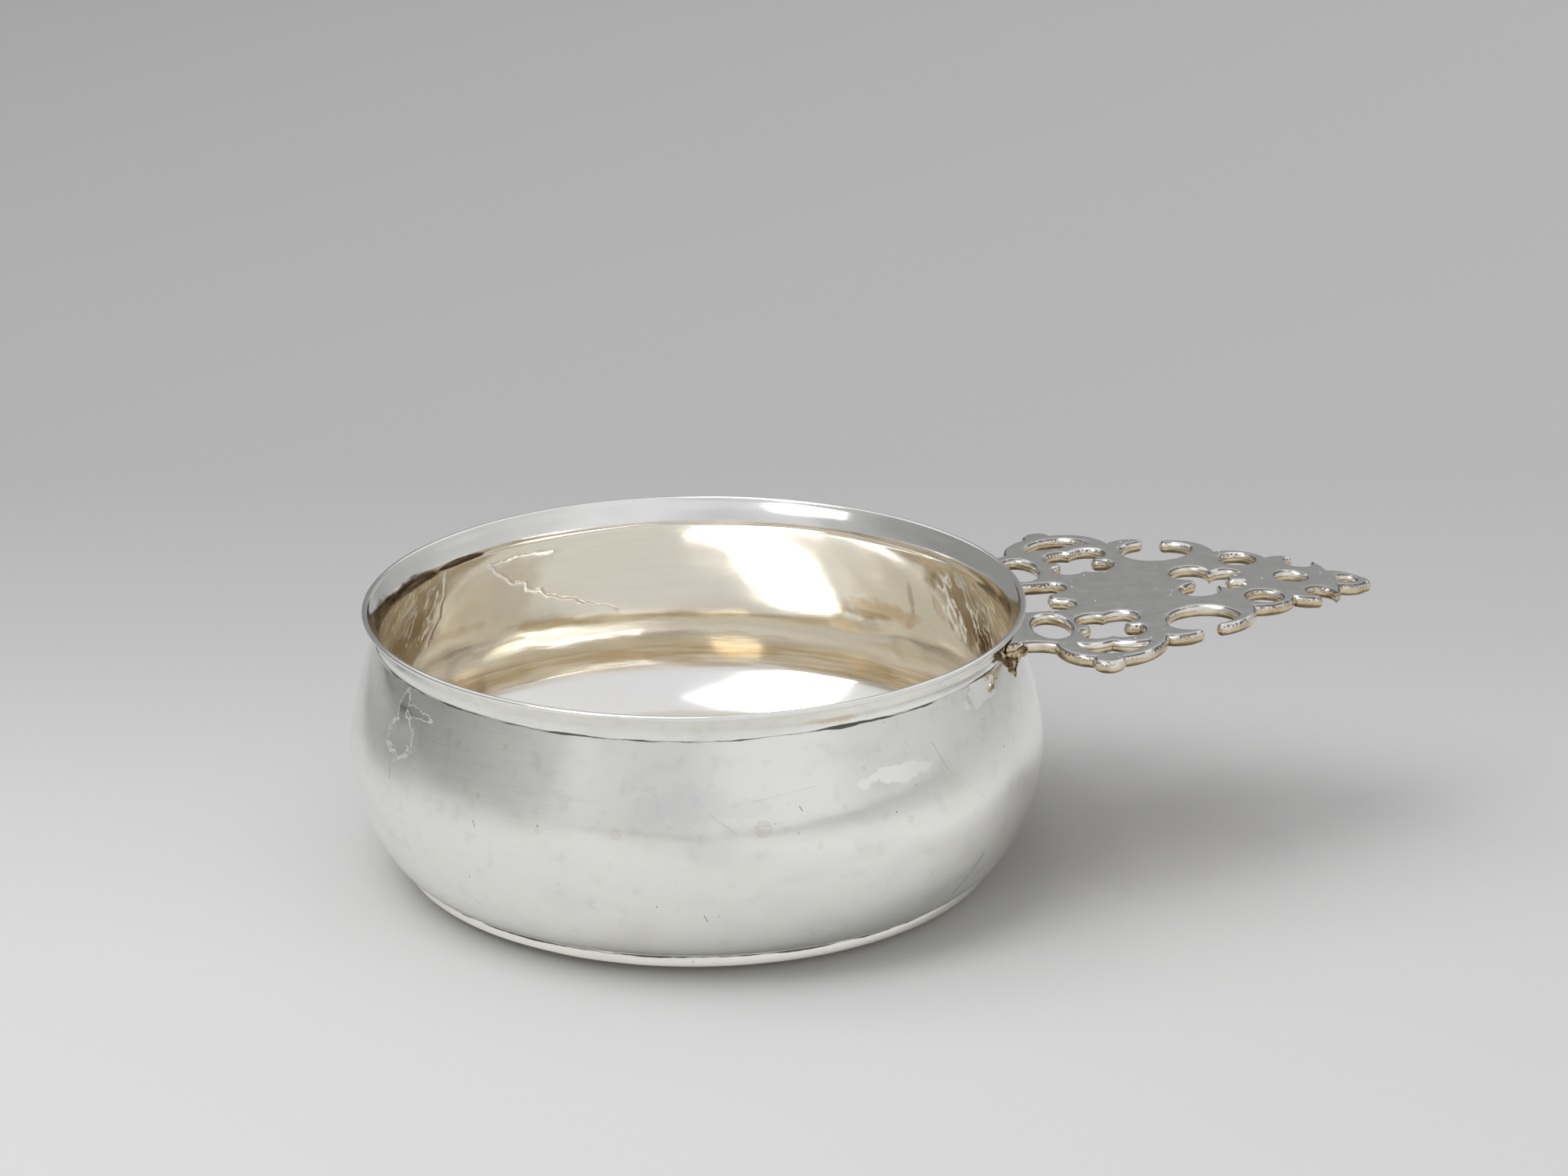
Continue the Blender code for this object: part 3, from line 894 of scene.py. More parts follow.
@dataclass(frozen=True)
class CastSilverFinish:
    """Cast silver: a filed flat top, and warm tarnished sides that are gold, then brown toward their lower
    edges, with a painted dark reflection along the top edge.

    Depths are shares of the plate's thickness, from 0 at its top.
    """

    top: tuple = (0.90, 0.895, 0.875, 1.0)
    side: tuple = (0.93, 0.90, 0.83, 1.0)
    gold: tuple = (0.70, 0.56, 0.33, 1.0)
    brown: tuple = (0.20, 0.135, 0.065, 1.0)
    # Dark of pits and tarnish, also the painted dark reflection along the top edge
    pit_and_edge_reflection: tuple = (0.05, 0.042, 0.034, 1.0)
    fleck: tuple = (0.92, 0.92, 0.91, 1.0)
    side_fade: tuple = (0.02, 0.12)
    gold_fade: tuple = (0.20, 0.46)
    gold_strength: float = 0.85
    brown_fade: tuple = (0.52, 0.80)
    brown_strength: float = 0.9
    upper_fade: tuple = (0.45, 0.15)
    crust_strength: float = 0.9
    edge_reflection_span: tuple = (0.004, 0.015, 0.10, 0.16)
    edge_reflection_strength: float = 0.8
    top_pits: float = 0.45
    side_pits: float = 0.85
    fleck_chalk: float = 0.8
    # Roughness of the bare metal, how much it varies, and what brown, dark tarnish and the painted dark edge
    # reflection add
    roughness: float = 0.13
    uneven_roughness: float = 0.14
    brown_roughness: float = 0.12
    dark_roughness: float = 0.35
    # Relief too fine for the plate, as strength and depth
    grain: tuple = (0.16, 0.03 * MM)
    casting: tuple = (0.3, 0.10 * MM)

    def material(self) -> bpy.types.Material:
        """Builds the material, which reads the handle's depth attribute.

        Returns:
            The material.
        """
        material, wires, shader = new_material("cast_silver")
        place = wires.node("ShaderNodeTexCoord").outputs["Object"]
        depth = wires.node("ShaderNodeAttribute", attribute_name="depth").outputs["Fac"]
        blotch = wires.noise(place, 4.0 * MM, 4.0)
        patchy = wires.noise(place, 11.0 * MM, 3.0)
        grains = wires.noise(place, 0.42 * MM, 2.0)
        below = wires.step(depth, *self.side_fade)
        colour = wires.tint(below, self.top, self.side)
        # Depth with noise: the sides go gold and then brown toward their lower edges
        worn = wires.total(depth, wires.centred(blotch, 0.7), wires.centred(patchy, 0.6))
        gold = wires.product(wires.step(worn, *self.gold_fade), self.gold_strength)
        colour = wires.tint(gold, colour, self.gold)
        brown = wires.product(wires.step(worn, *self.brown_fade), self.brown_strength)
        colour = wires.tint(brown, colour, self.brown)
        upper = wires.product(below, wires.step(depth, *self.upper_fade), wires.step(patchy, 0.42, 0.55))
        crust = wires.product(upper, wires.step(grains, 0.47, 0.58), self.crust_strength)
        # Painted dark reflection along the top edge, broken by noise
        corner = wires.product(wires.band(depth, self.edge_reflection_span), wires.step(blotch, 0.40, 0.52))
        pits = wires.product(wires.step(wires.cells(place, 1.5 * MM), 0.13, 0.06),
                             wires.step(blotch, 0.50, 0.60),
                             wires.blend(below, self.top_pits, self.side_pits))
        dark = wires.largest(crust, wires.product(corner, self.edge_reflection_strength), pits)
        colour = wires.tint(dark, colour, self.pit_and_edge_reflection)
        flecks = wires.product(wires.step(wires.cells(place, 2.3 * MM), 0.105, 0.07),
                               wires.step(blotch, 0.46, 0.54),
                               wires.other(below))
        wires.feed(shader.inputs["Base Color"], wires.tint(flecks, colour, self.fleck))
        wires.feed(shader.inputs["Metallic"], wires.other(wires.product(flecks, self.fleck_chalk)))
        uneven = wires.noise(place, 3.0 * MM, 3.0)
        rough = wires.total(wires.math("MULTIPLY_ADD", uneven, self.uneven_roughness, self.roughness),
                            wires.product(brown, self.brown_roughness),
                            wires.product(dark, self.dark_roughness))
        wires.feed(shader.inputs["Roughness"], rough)
        filed = wires.noise(place, 0.22 * MM, 2.0, stretch=(30.0, 3.0, 30.0), turn=(0.0, 0.0, 24.0))
        grainy = wires.total(wires.product(grains, below, 1.6), wires.product(filed, 0.8))
        bumpy = wires.bump(grainy, *self.grain)
        wavy = wires.noise(place, 5.0 * MM, 2.0)
        wires.feed(shader.inputs["Normal"], wires.bump(wavy, *self.casting, bumpy))
        return material


@dataclass(frozen=True)
class SolderFinish:
    """Hard solder that ran, oxidised brown, with a little bare metal on its high spots."""

    bare: tuple = (0.74, 0.62, 0.42, 1.0)
    brown: tuple = (0.17, 0.11, 0.055, 1.0)
    black: tuple = (0.04, 0.03, 0.025, 1.0)
    burnt_strength: float = 0.9
    roughness: float = 0.24
    oxide_roughness: float = 0.2
    # Fine relief, as strength and depth
    grain: tuple = (0.7, 0.18 * MM)

    def material(self) -> bpy.types.Material:
        """Builds the material.

        Returns:
            The material.
        """
        material, wires, shader = new_material("run_solder")
        place = wires.node("ShaderNodeTexCoord").outputs["Object"]
        brown = wires.step(wires.noise(place, 1.6 * MM, 4.0), 0.38, 0.54)
        burnt = wires.step(wires.noise(place, 0.9 * MM, 3.0), 0.52, 0.66)
        colour = wires.tint(brown, self.bare, self.brown)
        colour = wires.tint(wires.product(burnt, self.burnt_strength), colour, self.black)
        wires.feed(shader.inputs["Base Color"], colour)
        rough = wires.total(wires.product(brown, self.oxide_roughness),
                            wires.product(burnt, self.oxide_roughness), self.roughness)
        wires.feed(shader.inputs["Roughness"], rough)
        shader.inputs["Metallic"].default_value = 1.0
        wires.feed(shader.inputs["Normal"], wires.bump(wires.noise(place, 0.8 * MM, 4.0), *self.grain))
        return material


@dataclass(frozen=True)
class Dent:
    """A shallow dent in the bowl's wall: degrees round it as the viewer sees it, the rest in millimetres."""

    angle: float
    height: float
    wide: float
    tall: float
    depth: float


@dataclass
class Bowl:
    """The raised bowl, as one closed sheet. Sizes are in metres."""

    view: Viewpoint
    finish: SilverFinish = field(default_factory=SilverFinish)
    lip_radius: float = 0.0650
    lip_thickness: float = 0.0012
    lip_rounding: float = 0.0005
    lip_depth: float = 0.0055
    lip_flare: float = 0.0025
    height: float = 0.0541
    belly_swell: float = 0.0060
    belly_height: float = 0.0261
    foot_radius: float = 0.0588
    foot_height: float = 0.0040
    foot_rounding: float = 0.0068
    foot_flat: float = 0.0050
    dome_rise: float = 0.0032
    sheet: float = 0.0008
    turn_steps: int = 360
    lip_steps: int = 12
    shoulder_steps: int = 31
    belly_steps: int = 37
    foot_steps: int = 9
    dome_steps: int = 26
    sharp_angle: float = 50.0
    ripple_size: float = 0.014
    outside_ripple: float = 0.00005
    inside_ripple: float = 0.00012
    tilt: float = 0.00063
    oval: float = -0.00035
    foot_shift: float = 0.0008
    crease_blur: float = 1.8 * MM
    crease_wave: float = 0.18 * MM
    dents: tuple[Dent, ...] = (
        Dent(-148.7, 41.8, 3.2, 6.5, 0.16),
        Dent(-35.8, 11.9, 2.2, 5.5, 0.14),
        Dent(62.1, 26.5, 1.7, 1.7, 0.10),
        Dent(49.6, 23.6, 2.6, 2.4, 0.16),
    )

    def curve(self, start: tuple, first: tuple, second: tuple, end: tuple, steps: int) -> Points:
        """Finds points along a Bezier curve.

        Args:
            start: Where it starts, as (radius, height).
            first: The start's control point.
            second: The end's control point.
            end: Where it ends.
            steps: How many points it has.

        Returns:
            The points, both ends included.
        """
        corners = (Vector((r, z, 0.0)) for r, z in (start, first, second, end))
        return [(p.x, p.y) for p in interpolate_bezier(*corners, steps)]

    def wall(self, inset: float, lip: tuple[float, float]) -> Points:
        """Draws the wall from lip to foot.

        Args:
            inset: How far it is moved inward.
            lip: Where it starts, as (radius, height).

        Returns:
            The wall's points, as (radius, height).
        """
        crease = (self.lip_radius - self.lip_flare - inset, self.height - self.lip_depth)
        belly = (crease[0] + self.belly_swell, self.belly_height)
        foot = (self.foot_radius - inset, self.foot_height + inset)
        upper = crease[1] - belly[1]
        lower = belly[1] - self.foot_height
        side = belly[0] - foot[0]
        flare = self.curve(lip, (lip[0] - 0.4 * self.lip_flare, lip[1] - 0.3 * self.lip_depth),
                           (crease[0], crease[1] + 0.4 * self.lip_depth), crease, self.lip_steps)
        shoulder = self.curve(crease, (crease[0] + 0.5 * self.belly_swell, crease[1] - 0.25 * upper),
                              (belly[0], belly[1] + 0.2 * upper), belly, self.shoulder_steps)
        turn = self.curve(belly, (belly[0], belly[1] - 0.35 * lower),
                          (foot[0] + 0.5 * side, foot[1] + 0.06 * lower), foot, self.belly_steps)
        return flare + shoulder[1:] + turn[1:]

    def wall_radius(self, level: float) -> float:
        """Outer radius of the wall at a level."""
        wall = self.wall(0.0, (self.lip_radius, self.height))[::-1]
        return float(np.interp(level, [z for _, z in wall], [r for r, _ in wall]))

    def spot(self, angle: float, height: float) -> Vector:
        """Finds a place on the outer wall.

        Args:
            angle: Degrees round the bowl, as the viewer sees it.
            height: Height in millimetres.

        Returns:
            The place.
        """
        radius = self.wall_radius(height * MM)
        turn = math.radians(angle)
        return self.view.place(radius * math.cos(turn), radius * math.sin(turn), height * MM)

    def rounded(self, centre: tuple[float, float], start: float, end: float) -> Points:
        """Draws a quarter of the lip's rounding.

        Args:
            centre: Its centre, as (radius, height).
            start: The first angle in degrees.
            end: The last angle in degrees.

        Returns:
            Four points, as (radius, height).
        """
        angles = [math.radians(start + (end - start) * k / 3.0) for k in range(4)]
        return [(centre[0] + self.lip_rounding * math.cos(a), centre[1] + self.lip_rounding * math.sin(a))
                for a in angles]

    def dome(self, edge: float, level: float) -> Points:
        """Pushed-up middle as (radius, height), from its edge in to the axis."""
        crown = level + self.dome_rise
        return self.curve((edge, level), (0.8 * edge, crown), (0.5 * edge, crown), (0.0, crown),
                          self.dome_steps)

    def foot_band(self) -> Points:
        """Draws the foot's upright, rounded band.

        Returns:
            The band's points, as (radius, height), without its ends.
        """
        top = (self.foot_radius, self.foot_height)
        foot = (self.foot_radius - 0.1 * self.foot_rounding, 0.43 * self.foot_height)
        out = self.foot_radius + 0.085 * self.foot_rounding
        upper, lower = (out, 0.92 * self.foot_height), (out, 0.55 * self.foot_height)
        return self.curve(top, upper, lower, foot, self.foot_steps)[1:-1]

    def foot_curve(self, lift: float) -> Points:
        """Draws the foot's rounded underside from its band to the flat ring.

        Args:
            lift: How far it is lifted.

        Returns:
            The points, as (radius, height).
        """
        band = (self.foot_radius - 0.1 * self.foot_rounding, 0.43 * self.foot_height + lift)
        ring = (self.foot_radius - self.foot_rounding, lift)
        flat = [(ring[0] - self.foot_flat * k / 4.0, lift) for k in range(1, 4)]
        return self.curve(band, (band[0] - 0.25 * self.foot_rounding, 0.15 * self.foot_height + lift),
                          (ring[0] + 0.4 * self.foot_rounding, lift), ring, self.foot_steps) + flat

    def section(self) -> list[tuple[float, float, float]]:
        """The sheet's closed section.

        Returns:
            (radius, height, flag) from the floor's middle over the lip to the underside's middle. The flag
            is 1 inside, 0.5 on the lip's rounding and 0 outside.
        """
        flat_edge = self.foot_radius - self.foot_rounding
        ring = flat_edge - self.foot_flat
        low_lip = self.height - self.lip_rounding
        inner = self.lip_radius - self.lip_thickness
        inside = self.dome(ring, self.sheet)[::-1] + self.foot_curve(self.sheet)[::-1]
        inside += self.wall(self.sheet, (inner, low_lip))[::-1]
        lip = self.rounded((inner + self.lip_rounding, low_lip), 180.0, 90.0)[1:]
        lip += self.rounded((self.lip_radius - self.lip_rounding, low_lip), 90.0, 0.0)
        outside = self.wall(0.0, (self.lip_radius, low_lip))[1:]
        outside += self.foot_band() + self.foot_curve(0.0) + self.dome(ring, 0.0)
        stretches = ((inside, 1.0), (lip, 0.5), (outside, 0.0))
        return [(r, z, flag) for points, flag in stretches for r, z in points]

    def tree(self) -> tuple[bpy.types.NodeTree, dict[str, str]]:
        """Builds the Geometry Nodes that turn a section about the axis and hammer the sheet.

        Returns:
            The tree, and each input's identifier by its name.
        """
        tree = bpy.data.node_groups.new("raised_bowl", "GeometryNodeTree")
        sockets = (("Section", "NodeSocketGeometry"), ("Turn Steps", "NodeSocketInt"),
                   ("Axis", "NodeSocketVector"), ("Ripple Size", "NodeSocketFloat"),
                   ("Outside Ripple", "NodeSocketFloat"), ("Inside Ripple", "NodeSocketFloat"),
                   ("Silver", "NodeSocketMaterial"))
        names = {name: tree.interface.new_socket(name, in_out="INPUT", socket_type=kind).identifier
                 for name, kind in sockets}
        tree.interface.new_socket("Bowl", in_out="OUTPUT", socket_type="NodeSocketGeometry")
        wires = Wiring(tree)
        given = wires.node("NodeGroupInput").outputs
        count = wires.node("GeometryNodeAttributeDomainSize", {0: given["Section"]}).outputs["Point Count"]
        grid = wires.node("GeometryNodeMeshGrid", {"Size X": 1.0, "Size Y": 1.0, "Vertices Y": count,
                                                   "Vertices X": wires.math("ADD", given["Turn Steps"], 1.0)})
        spot = wires.split(wires.node("GeometryNodeInputPosition").outputs[0])
        angle = wires.math("MULTIPLY", wires.math("ADD", spot[0], 0.5), math.tau)
        row = wires.math("MULTIPLY", wires.math("ADD", spot[1], 0.5), wires.math("SUBTRACT", count, 1.0))
        row = wires.node("FunctionNodeFloatToInt", {0: row}, rounding_mode="ROUND").outputs[0]
        position = wires.node("GeometryNodeInputPosition").outputs[0]
        sampled = {"Geometry": given["Section"], "Value": position, "Index": row}
        profile = wires.split(
            wires.node("GeometryNodeSampleIndex", sampled, data_type="FLOAT_VECTOR").outputs[0])
        flag = wires.node("GeometryNodeInputNamedAttribute", {"Name": "inside"}, data_type="FLOAT").outputs[0]
        sampled = {"Geometry": given["Section"], "Value": flag, "Index": row}
        inside = wires.node("GeometryNodeSampleIndex", sampled, data_type="FLOAT").outputs[0]
        turned = wires.join(wires.math("MULTIPLY", profile[0], wires.math("COSINE", angle)),
                            wires.math("MULTIPLY", profile[0], wires.math("SINE", angle)), profile[2])
        mesh = grid.outputs["Mesh"]
        for name, value in (("inside", inside), ("level", profile[2])):
            inputs = {"Geometry": mesh, "Name": name, "Value": value}
            mesh = wires.node("GeometryNodeStoreNamedAttribute", inputs, data_type="FLOAT",
                              domain="POINT").outputs[0]
        mesh = wires.node("GeometryNodeSetPosition", {"Geometry": mesh, "Position": turned}).outputs[0]
        inputs = {"Geometry": mesh, "Distance": 0.001 * MM}
        mesh = wires.node("GeometryNodeMergeByDistance", inputs).outputs[0]
        place = wires.node("GeometryNodeInputPosition").outputs[0]
        stored = wires.node("GeometryNodeInputNamedAttribute", {"Name": "inside"},
                            data_type="FLOAT").outputs[0]
        broad_scale = wires.math("DIVIDE", 1.0, given["Ripple Size"])
        fine_scale = wires.math("DIVIDE", 2.6, given["Ripple Size"])
        broad, fine = (
            wires.node("ShaderNodeTexNoise", {"Vector": place, "Scale": scale, "Detail": detail}).outputs[0]
            for scale, detail in ((broad_scale, 1.0), (fine_scale, 0.0)))
        wave = wires.total(broad, wires.product(fine, 0.3), -0.65)
        depth = wires.blend(stored, given["Outside Ripple"], given["Inside Ripple"])
        normal = wires.node("GeometryNodeInputNormal").outputs[0]
        push = wires.scaled(normal, wires.product(wave, depth, 2.0))
        for kind, inputs in (("GeometryNodeSetPosition", {"Offset": push}),
                             ("GeometryNodeTransform", {"Translation": given["Axis"]}),
                             ("GeometryNodeSetShadeSmooth", {}),
                             ("GeometryNodeRealizeInstances", {}),
                             ("GeometryNodeSetMaterial", {"Material": given["Silver"]})):
            mesh = wires.node(kind, {"Geometry": mesh} | inputs).outputs[0]
        wires.node("NodeGroupOutput", {0: mesh})
        return tree, names

    def build(self) -> bpy.types.Object:
        """Makes the bowl.

        Returns:
            The finished piece.
        """
        section = self.section()
        mesh = bpy.data.meshes.new("bowl_section")
        edges = [(k, k + 1) for k in range(len(section) - 1)]
        mesh.from_pydata([(r, 0.0, z) for r, z, _ in section], edges, [])
        flags = mesh.attributes.new("inside", "FLOAT", "POINT")
        flags.data.foreach_set("value", [flag for _, _, flag in section])
        draft = new_object("bowl_draft", mesh)
        tree, names = self.tree()
        raising = draft.modifiers.new("raised", "NODES")
        raising.node_group = tree
        values = {"Turn Steps": self.turn_steps, "Axis": self.view.axis(), "Ripple Size": self.ripple_size,
                  "Outside Ripple": self.outside_ripple, "Inside Ripple": self.inside_ripple,
                  "Silver": self.finish.material(self.spot)}
        for name, value in values.items():
            raising[names[name]] = value
        ready = draft.evaluated_get(bpy.context.evaluated_depsgraph_get())
        bowl_mesh = bpy.data.meshes.new_from_object(ready)
        draft.modifiers.remove(raising)
        bpy.data.objects.remove(draft, do_unlink=True)
        bowl_mesh.name = "hammered_bowl"
        self.work_by_hand(bowl_mesh)
        self.face_outward(bowl_mesh)
        bowl_mesh.set_sharp_from_angle(angle=math.radians(self.sharp_angle))
        return new_object("hammered_bowl", bowl_mesh)

    def work_by_hand(self, mesh: bpy.types.Mesh) -> None:
        """Gives the turned sheet its uneven rim, shifted foot, wavy crease and dents.

        Args:
            mesh: The bowl's mesh, changed in place.
        """
        flat = np.empty(len(mesh.vertices) * 3)
        mesh.vertices.foreach_get("co", flat)
        axis = np.array(self.view.axis())
        turn = np.array(self.view.turn())
        seen = (flat.reshape(-1, 3) - axis) @ turn
        angle = np.arctan2(seen[:, 1], seen[:, 0])
        radius = np.hypot(seen[:, 0], seen[:, 1])
        level = seen[:, 2].copy()
        share = np.clip(level / self.height, 0.0, 1.0)
        radius = radius + self.oval * np.sin(2.0 * angle) * share * (radius / self.lip_radius)
        crease = np.exp(-((level - (self.height - self.lip_depth)) / self.crease_blur) ** 2)
        ripple = 0.6 * np.sin(5.0 * angle + 0.6) + 0.4 * np.sin(11.0 * angle + 2.1)
        height = level + self.crease_wave * crease * ripple + self.tilt * np.cos(angle) * share
        for dent in self.dents:
            across = (angle - math.radians(dent.angle) + math.pi) % math.tau - math.pi
            sideways = across * self.lip_radius / (dent.wide * MM)
            upward = (level - dent.height * MM) / (dent.tall * MM)
            radius = radius - dent.depth * MM * np.exp(-(sideways ** 2 + upward ** 2))
        right = radius * np.cos(angle) + self.foot_shift * (1.0 - share)
        away = radius * np.sin(angle)
        moved = np.stack([right, away, height], -1) @ turn.T + axis
        mesh.vertices.foreach_set("co", moved.ravel())
        mesh.update()

    @staticmethod
    def face_outward(mesh: bpy.types.Mesh) -> None:
        """Turns the faces of a closed shape outward.

        Args:
            mesh: The mesh, changed in place.
        """
        shape = bmesh.new()
        shape.from_mesh(mesh)
        bmesh.ops.recalc_face_normals(shape, faces=shape.faces[:])
        shape.to_mesh(mesh)
        shape.free()


@dataclass
class Handle:
    """The cast, pierced plate. Its plan is in millimetres from the back of its pads, the rest in metres."""

    view: Viewpoint
    finish: CastSilverFinish = field(default_factory=CastSilverFinish)
    back_radius: float = 0.0633055
    root_height: float = 0.0508
    arch_rise: float = 0.0024
    arch_crest: float = 0.0486
    tip_drop: float = 0.0017
    reach: float = 0.0728
    pad_inner_edge: float = 0.0082
    pad_outer_edge: float = 0.0254
    arc_step: float = 0.0003
    fill_step: float = 0.0009
    far_shift: float = 0.0005
    near_shift: float = -0.0010
    # Edge of the plate from its top to its underside: (how far it stands out, depth)
    edge: tuple = ((-0.26, 0.0), (-0.13, 0.02), (0.0, 0.09), (0.20, 0.27), (0.40, 0.58), (0.53, 0.98),
                   (0.55, 1.40), (0.42, 1.84), (0.16, 2.20), (-0.16, 2.42), (-0.45, 2.5))
    sharp_angle: float = 30.0
    # Corners in plan: (outward, sideways, rise of the arc that leads there)
    palm_edge: tuple = ((8.1, 0.0, 0.0), (8.7, 1.3, 0.35), (9.7, 1.9, 0.0), (8.9, 8.1, -2.8))
    outer_edge: tuple = (
        (-1.1, 24.7, -0.2), (4.0, 26.3, -0.5), (9.75, 35.05, 1.7), (14.85, 36.2, 3.0), (25.1, 27.6, 2.4),
        (31.6, 27.9, 1.1), (31.4, 26.7, 0.6), (26.7, 22.6, -1.0), (41.35, 20.5, -7.7), (37.0, 24.5, -0.7),
        (36.6, 25.7, 0.6), (44.9, 16.4, 2.4), (54.4, 11.6, 2.1), (59.3, 12.45, 0.6), (59.5, 11.95, 0.2),
        (63.7, 9.3, -5.0), (65.1, 4.1, 0.45), (71.9, 1.25, 1.2), (72.8, 0.0, 0.25))
    # Round and oval openings: (outward, sideways, half length, half width)
    round_piercings: tuple = ((68.1, 0.0, 2.4, 2.4), (56.8, 0.0, 3.5, 3.5), (48.5, 11.3, 3.9, 3.9),
                              (4.8, 16.7, 4.1, 7.1))
    # Openings with corners, given as the edges are
    crescent: tuple = ((7.8, 26.9, 1.0), (21.6, 29.2, 6.05), (14.6, 27.1, -0.85), (7.8, 26.9, -1.0))
    side_quatrefoil: tuple = (
        (11.2, 19.6, -1.5), (16.1, 24.9, 3.3), (22.7, 20.2, 3.7), (21.1, 19.9, 0.0), (21.1, 18.2, -0.85),
        (22.7, 17.9, 0.0), (16.9, 12.7, 3.6), (11.2, 17.0, 3.2), (11.2, 19.6, -1.5))
    middle_quatrefoil: tuple = ((36.8, 0.0, 0.0), (36.0, 0.95, -0.3), (33.9, 2.2, 0.0), (41.1, 4.0, 5.9),
                                (46.9, 1.4, 3.0), (44.9, 1.1, 0.0), (44.1, 0.0, -0.3))

    def arc(self, start: Vector, end: Vector, rise: float) -> list[Vector]:
        """Draws an arc.

        Args:
            start: Where it starts.
            end: Where it ends.
            rise: How far its middle lies to the left of the straight way.

        Returns:
            The points on the way, without the start.
        """
        chord = end - start
        length = chord.length
        if abs(rise) < 0.001 * length:
            steps = max(1, math.ceil(length / self.arc_step))
            return [start + chord * (k / steps) for k in range(1, steps + 1)]
        radius = (0.25 * length ** 2 + rise ** 2) / (2.0 * rise)
        left = Vector((-chord.y, chord.x)) / length
        centre = (start + end) / 2.0 + left * (rise - radius)
        sweep = -4.0 * math.atan2(2.0 * rise, length)
        steps = max(3, math.ceil(abs(sweep * radius) / self.arc_step))
        spoke = start - centre
        return [centre + Matrix.Rotation(sweep * k / steps, 2) @ spoke for k in range(1, steps + 1)]

    def path(self, corners: list[tuple[Vector, float]]) -> list[Vector]:
        """Draws arcs through corners.

        Args:
            corners: The places, each with the rise of the arc that leads there.

        Returns:
            The points, the first corner included.
        """
        points = [corners[0][0]]
        for (start, _), (end, rise) in zip(corners, corners[1:]):
            points += self.arc(start, end, rise)
        return points

    def corner(self, entry: tuple[float, float, float]) -> tuple[Vector, float]:
        """Turns (outward, sideways, rise) in millimetres into a place and a rise in metres."""
        outward, sideways, rise = entry
        return Vector((self.back_radius + outward * MM, sideways * MM)), rise * MM

    def pad_corner(self, sideways: float) -> Vector:
        """Place on the pads' back at a distance from the handle's middle."""
        return Vector((math.sqrt(self.back_radius ** 2 - sideways ** 2), sideways))

    @staticmethod
    def mirrored(points: list[Vector]) -> list[Vector]:
        """Points on the other side of the handle's middle."""
        return [Vector((p.x, -p.y)) for p in points]

    def outline(self) -> list[Vector]:
        """Draws the outline of the plate's top.

        Returns:
            A closed loop in plan.
        """
        inner, outer = self.pad_corner(self.pad_inner_edge), self.pad_corner(self.pad_outer_edge)
        half_chord = (outer - inner).length / 2.0
        hollow = self.back_radius - math.sqrt(self.back_radius ** 2 - half_chord ** 2)
        half = self.path([self.corner(entry) for entry in self.palm_edge] + [(inner, 0.0), (outer, -hollow)]
                         + [self.corner(entry) for entry in self.outer_edge])
        return half + self.mirrored(half)[-2:0:-1]

    def piercings(self) -> list[list[Vector]]:
        """Draws all openings in the plate's top.

        Returns:
            Closed loops in plan.
        """
        loops = []
        for outward, sideways, along, across in self.round_piercings:
            centre = self.corner((outward, sideways, 0.0))[0]
            steps = math.ceil(math.tau * max(along, across) * MM / self.arc_step)
            angles = [math.tau * k / steps for k in range(steps)]
            loop = [centre + Vector((along * math.cos(a), across * math.sin(a))) * MM for a in angles]
            loops += [loop] if sideways == 0.0 else [loop, self.mirrored(loop)]
        crescent = self.path([self.corner(entry) for entry in self.crescent])[:-1]
        loops += [crescent, self.mirrored(crescent)]
        quatrefoil = self.path([self.corner(entry) for entry in self.side_quatrefoil])[:-1]
        loops.append([p + Vector((self.far_shift, 0.0)) for p in quatrefoil])
        loops.append([p + Vector((self.near_shift, 0.0)) for p in self.mirrored(quatrefoil)])
        half = self.path([self.corner(entry) for entry in self.middle_quatrefoil])
        loops.append(half + self.mirrored(half)[-2:0:-1])
        return loops

    def top_height(self, x: np.ndarray) -> np.ndarray:
        """Finds the height of the plate's top, which rises to a crest and then sinks to the tip.

        Args:
            x: Distances from the bowl's axis.

        Returns:
            The heights.
        """
        along = np.maximum(x - self.back_radius, 0.0)
        rising = self.arch_rise * (1.0 - np.cos(np.pi * np.minimum(along / self.arch_crest, 1.0))) / 2.0
        droop = np.maximum(along - self.arch_crest, 0.0) / (self.reach - self.arch_crest)
        return self.root_height + rising - self.tip_drop * droop ** 2

    @staticmethod
    def away_from_metal(loop: np.ndarray, is_hole: bool) -> np.ndarray:
        """Finds the directions that lead out of the metal at a loop's points.

        Args:
            loop: The points of a closed loop.
            is_hole: Whether the metal lies outside it.

        Returns:
            The directions, longer at corners.
        """
        chord = np.roll(loop, -1, 0) - loop
        chord /= np.linalg.norm(chord, axis=1, keepdims=True)
        normal = np.stack([chord[:, 1], -chord[:, 0]], -1)
        area = np.sum(loop[:, 0] * np.roll(loop[:, 1], -1) - loop[:, 1] * np.roll(loop[:, 0], -1))
        if (area < 0.0) != is_hole:
            normal = -normal
        both = normal + np.roll(normal, 1, 0)
        both /= np.maximum(np.linalg.norm(both, axis=1, keepdims=True), 1e-9)
        slant = np.maximum(np.sum(both * normal, 1, keepdims=True), 0.7)
        return both / slant

    @staticmethod
    def clearance(points: np.ndarray, starts: np.ndarray, ends: np.ndarray) -> np.ndarray:
        """Measures how far points are from the nearest of many segments.

        Args:
            points: The points.
            starts: Where the segments start.
            ends: Where they end.

        Returns:
            The distances.
        """
        along = ends - starts
        length = np.maximum(np.sum(along ** 2, 1), 1e-18)
        nearest = np.empty(len(points))
        for first in range(0, len(points), 256):
            some = points[first:first + 256, None, :]
            share = np.clip(np.sum((some - starts) * along, 2) / length, 0.0, 1.0)
            foot = starts + share[..., None] * along
            nearest[first:first + 256] = np.sqrt(np.min(np.sum((some - foot) ** 2, 2), 1))
        return nearest

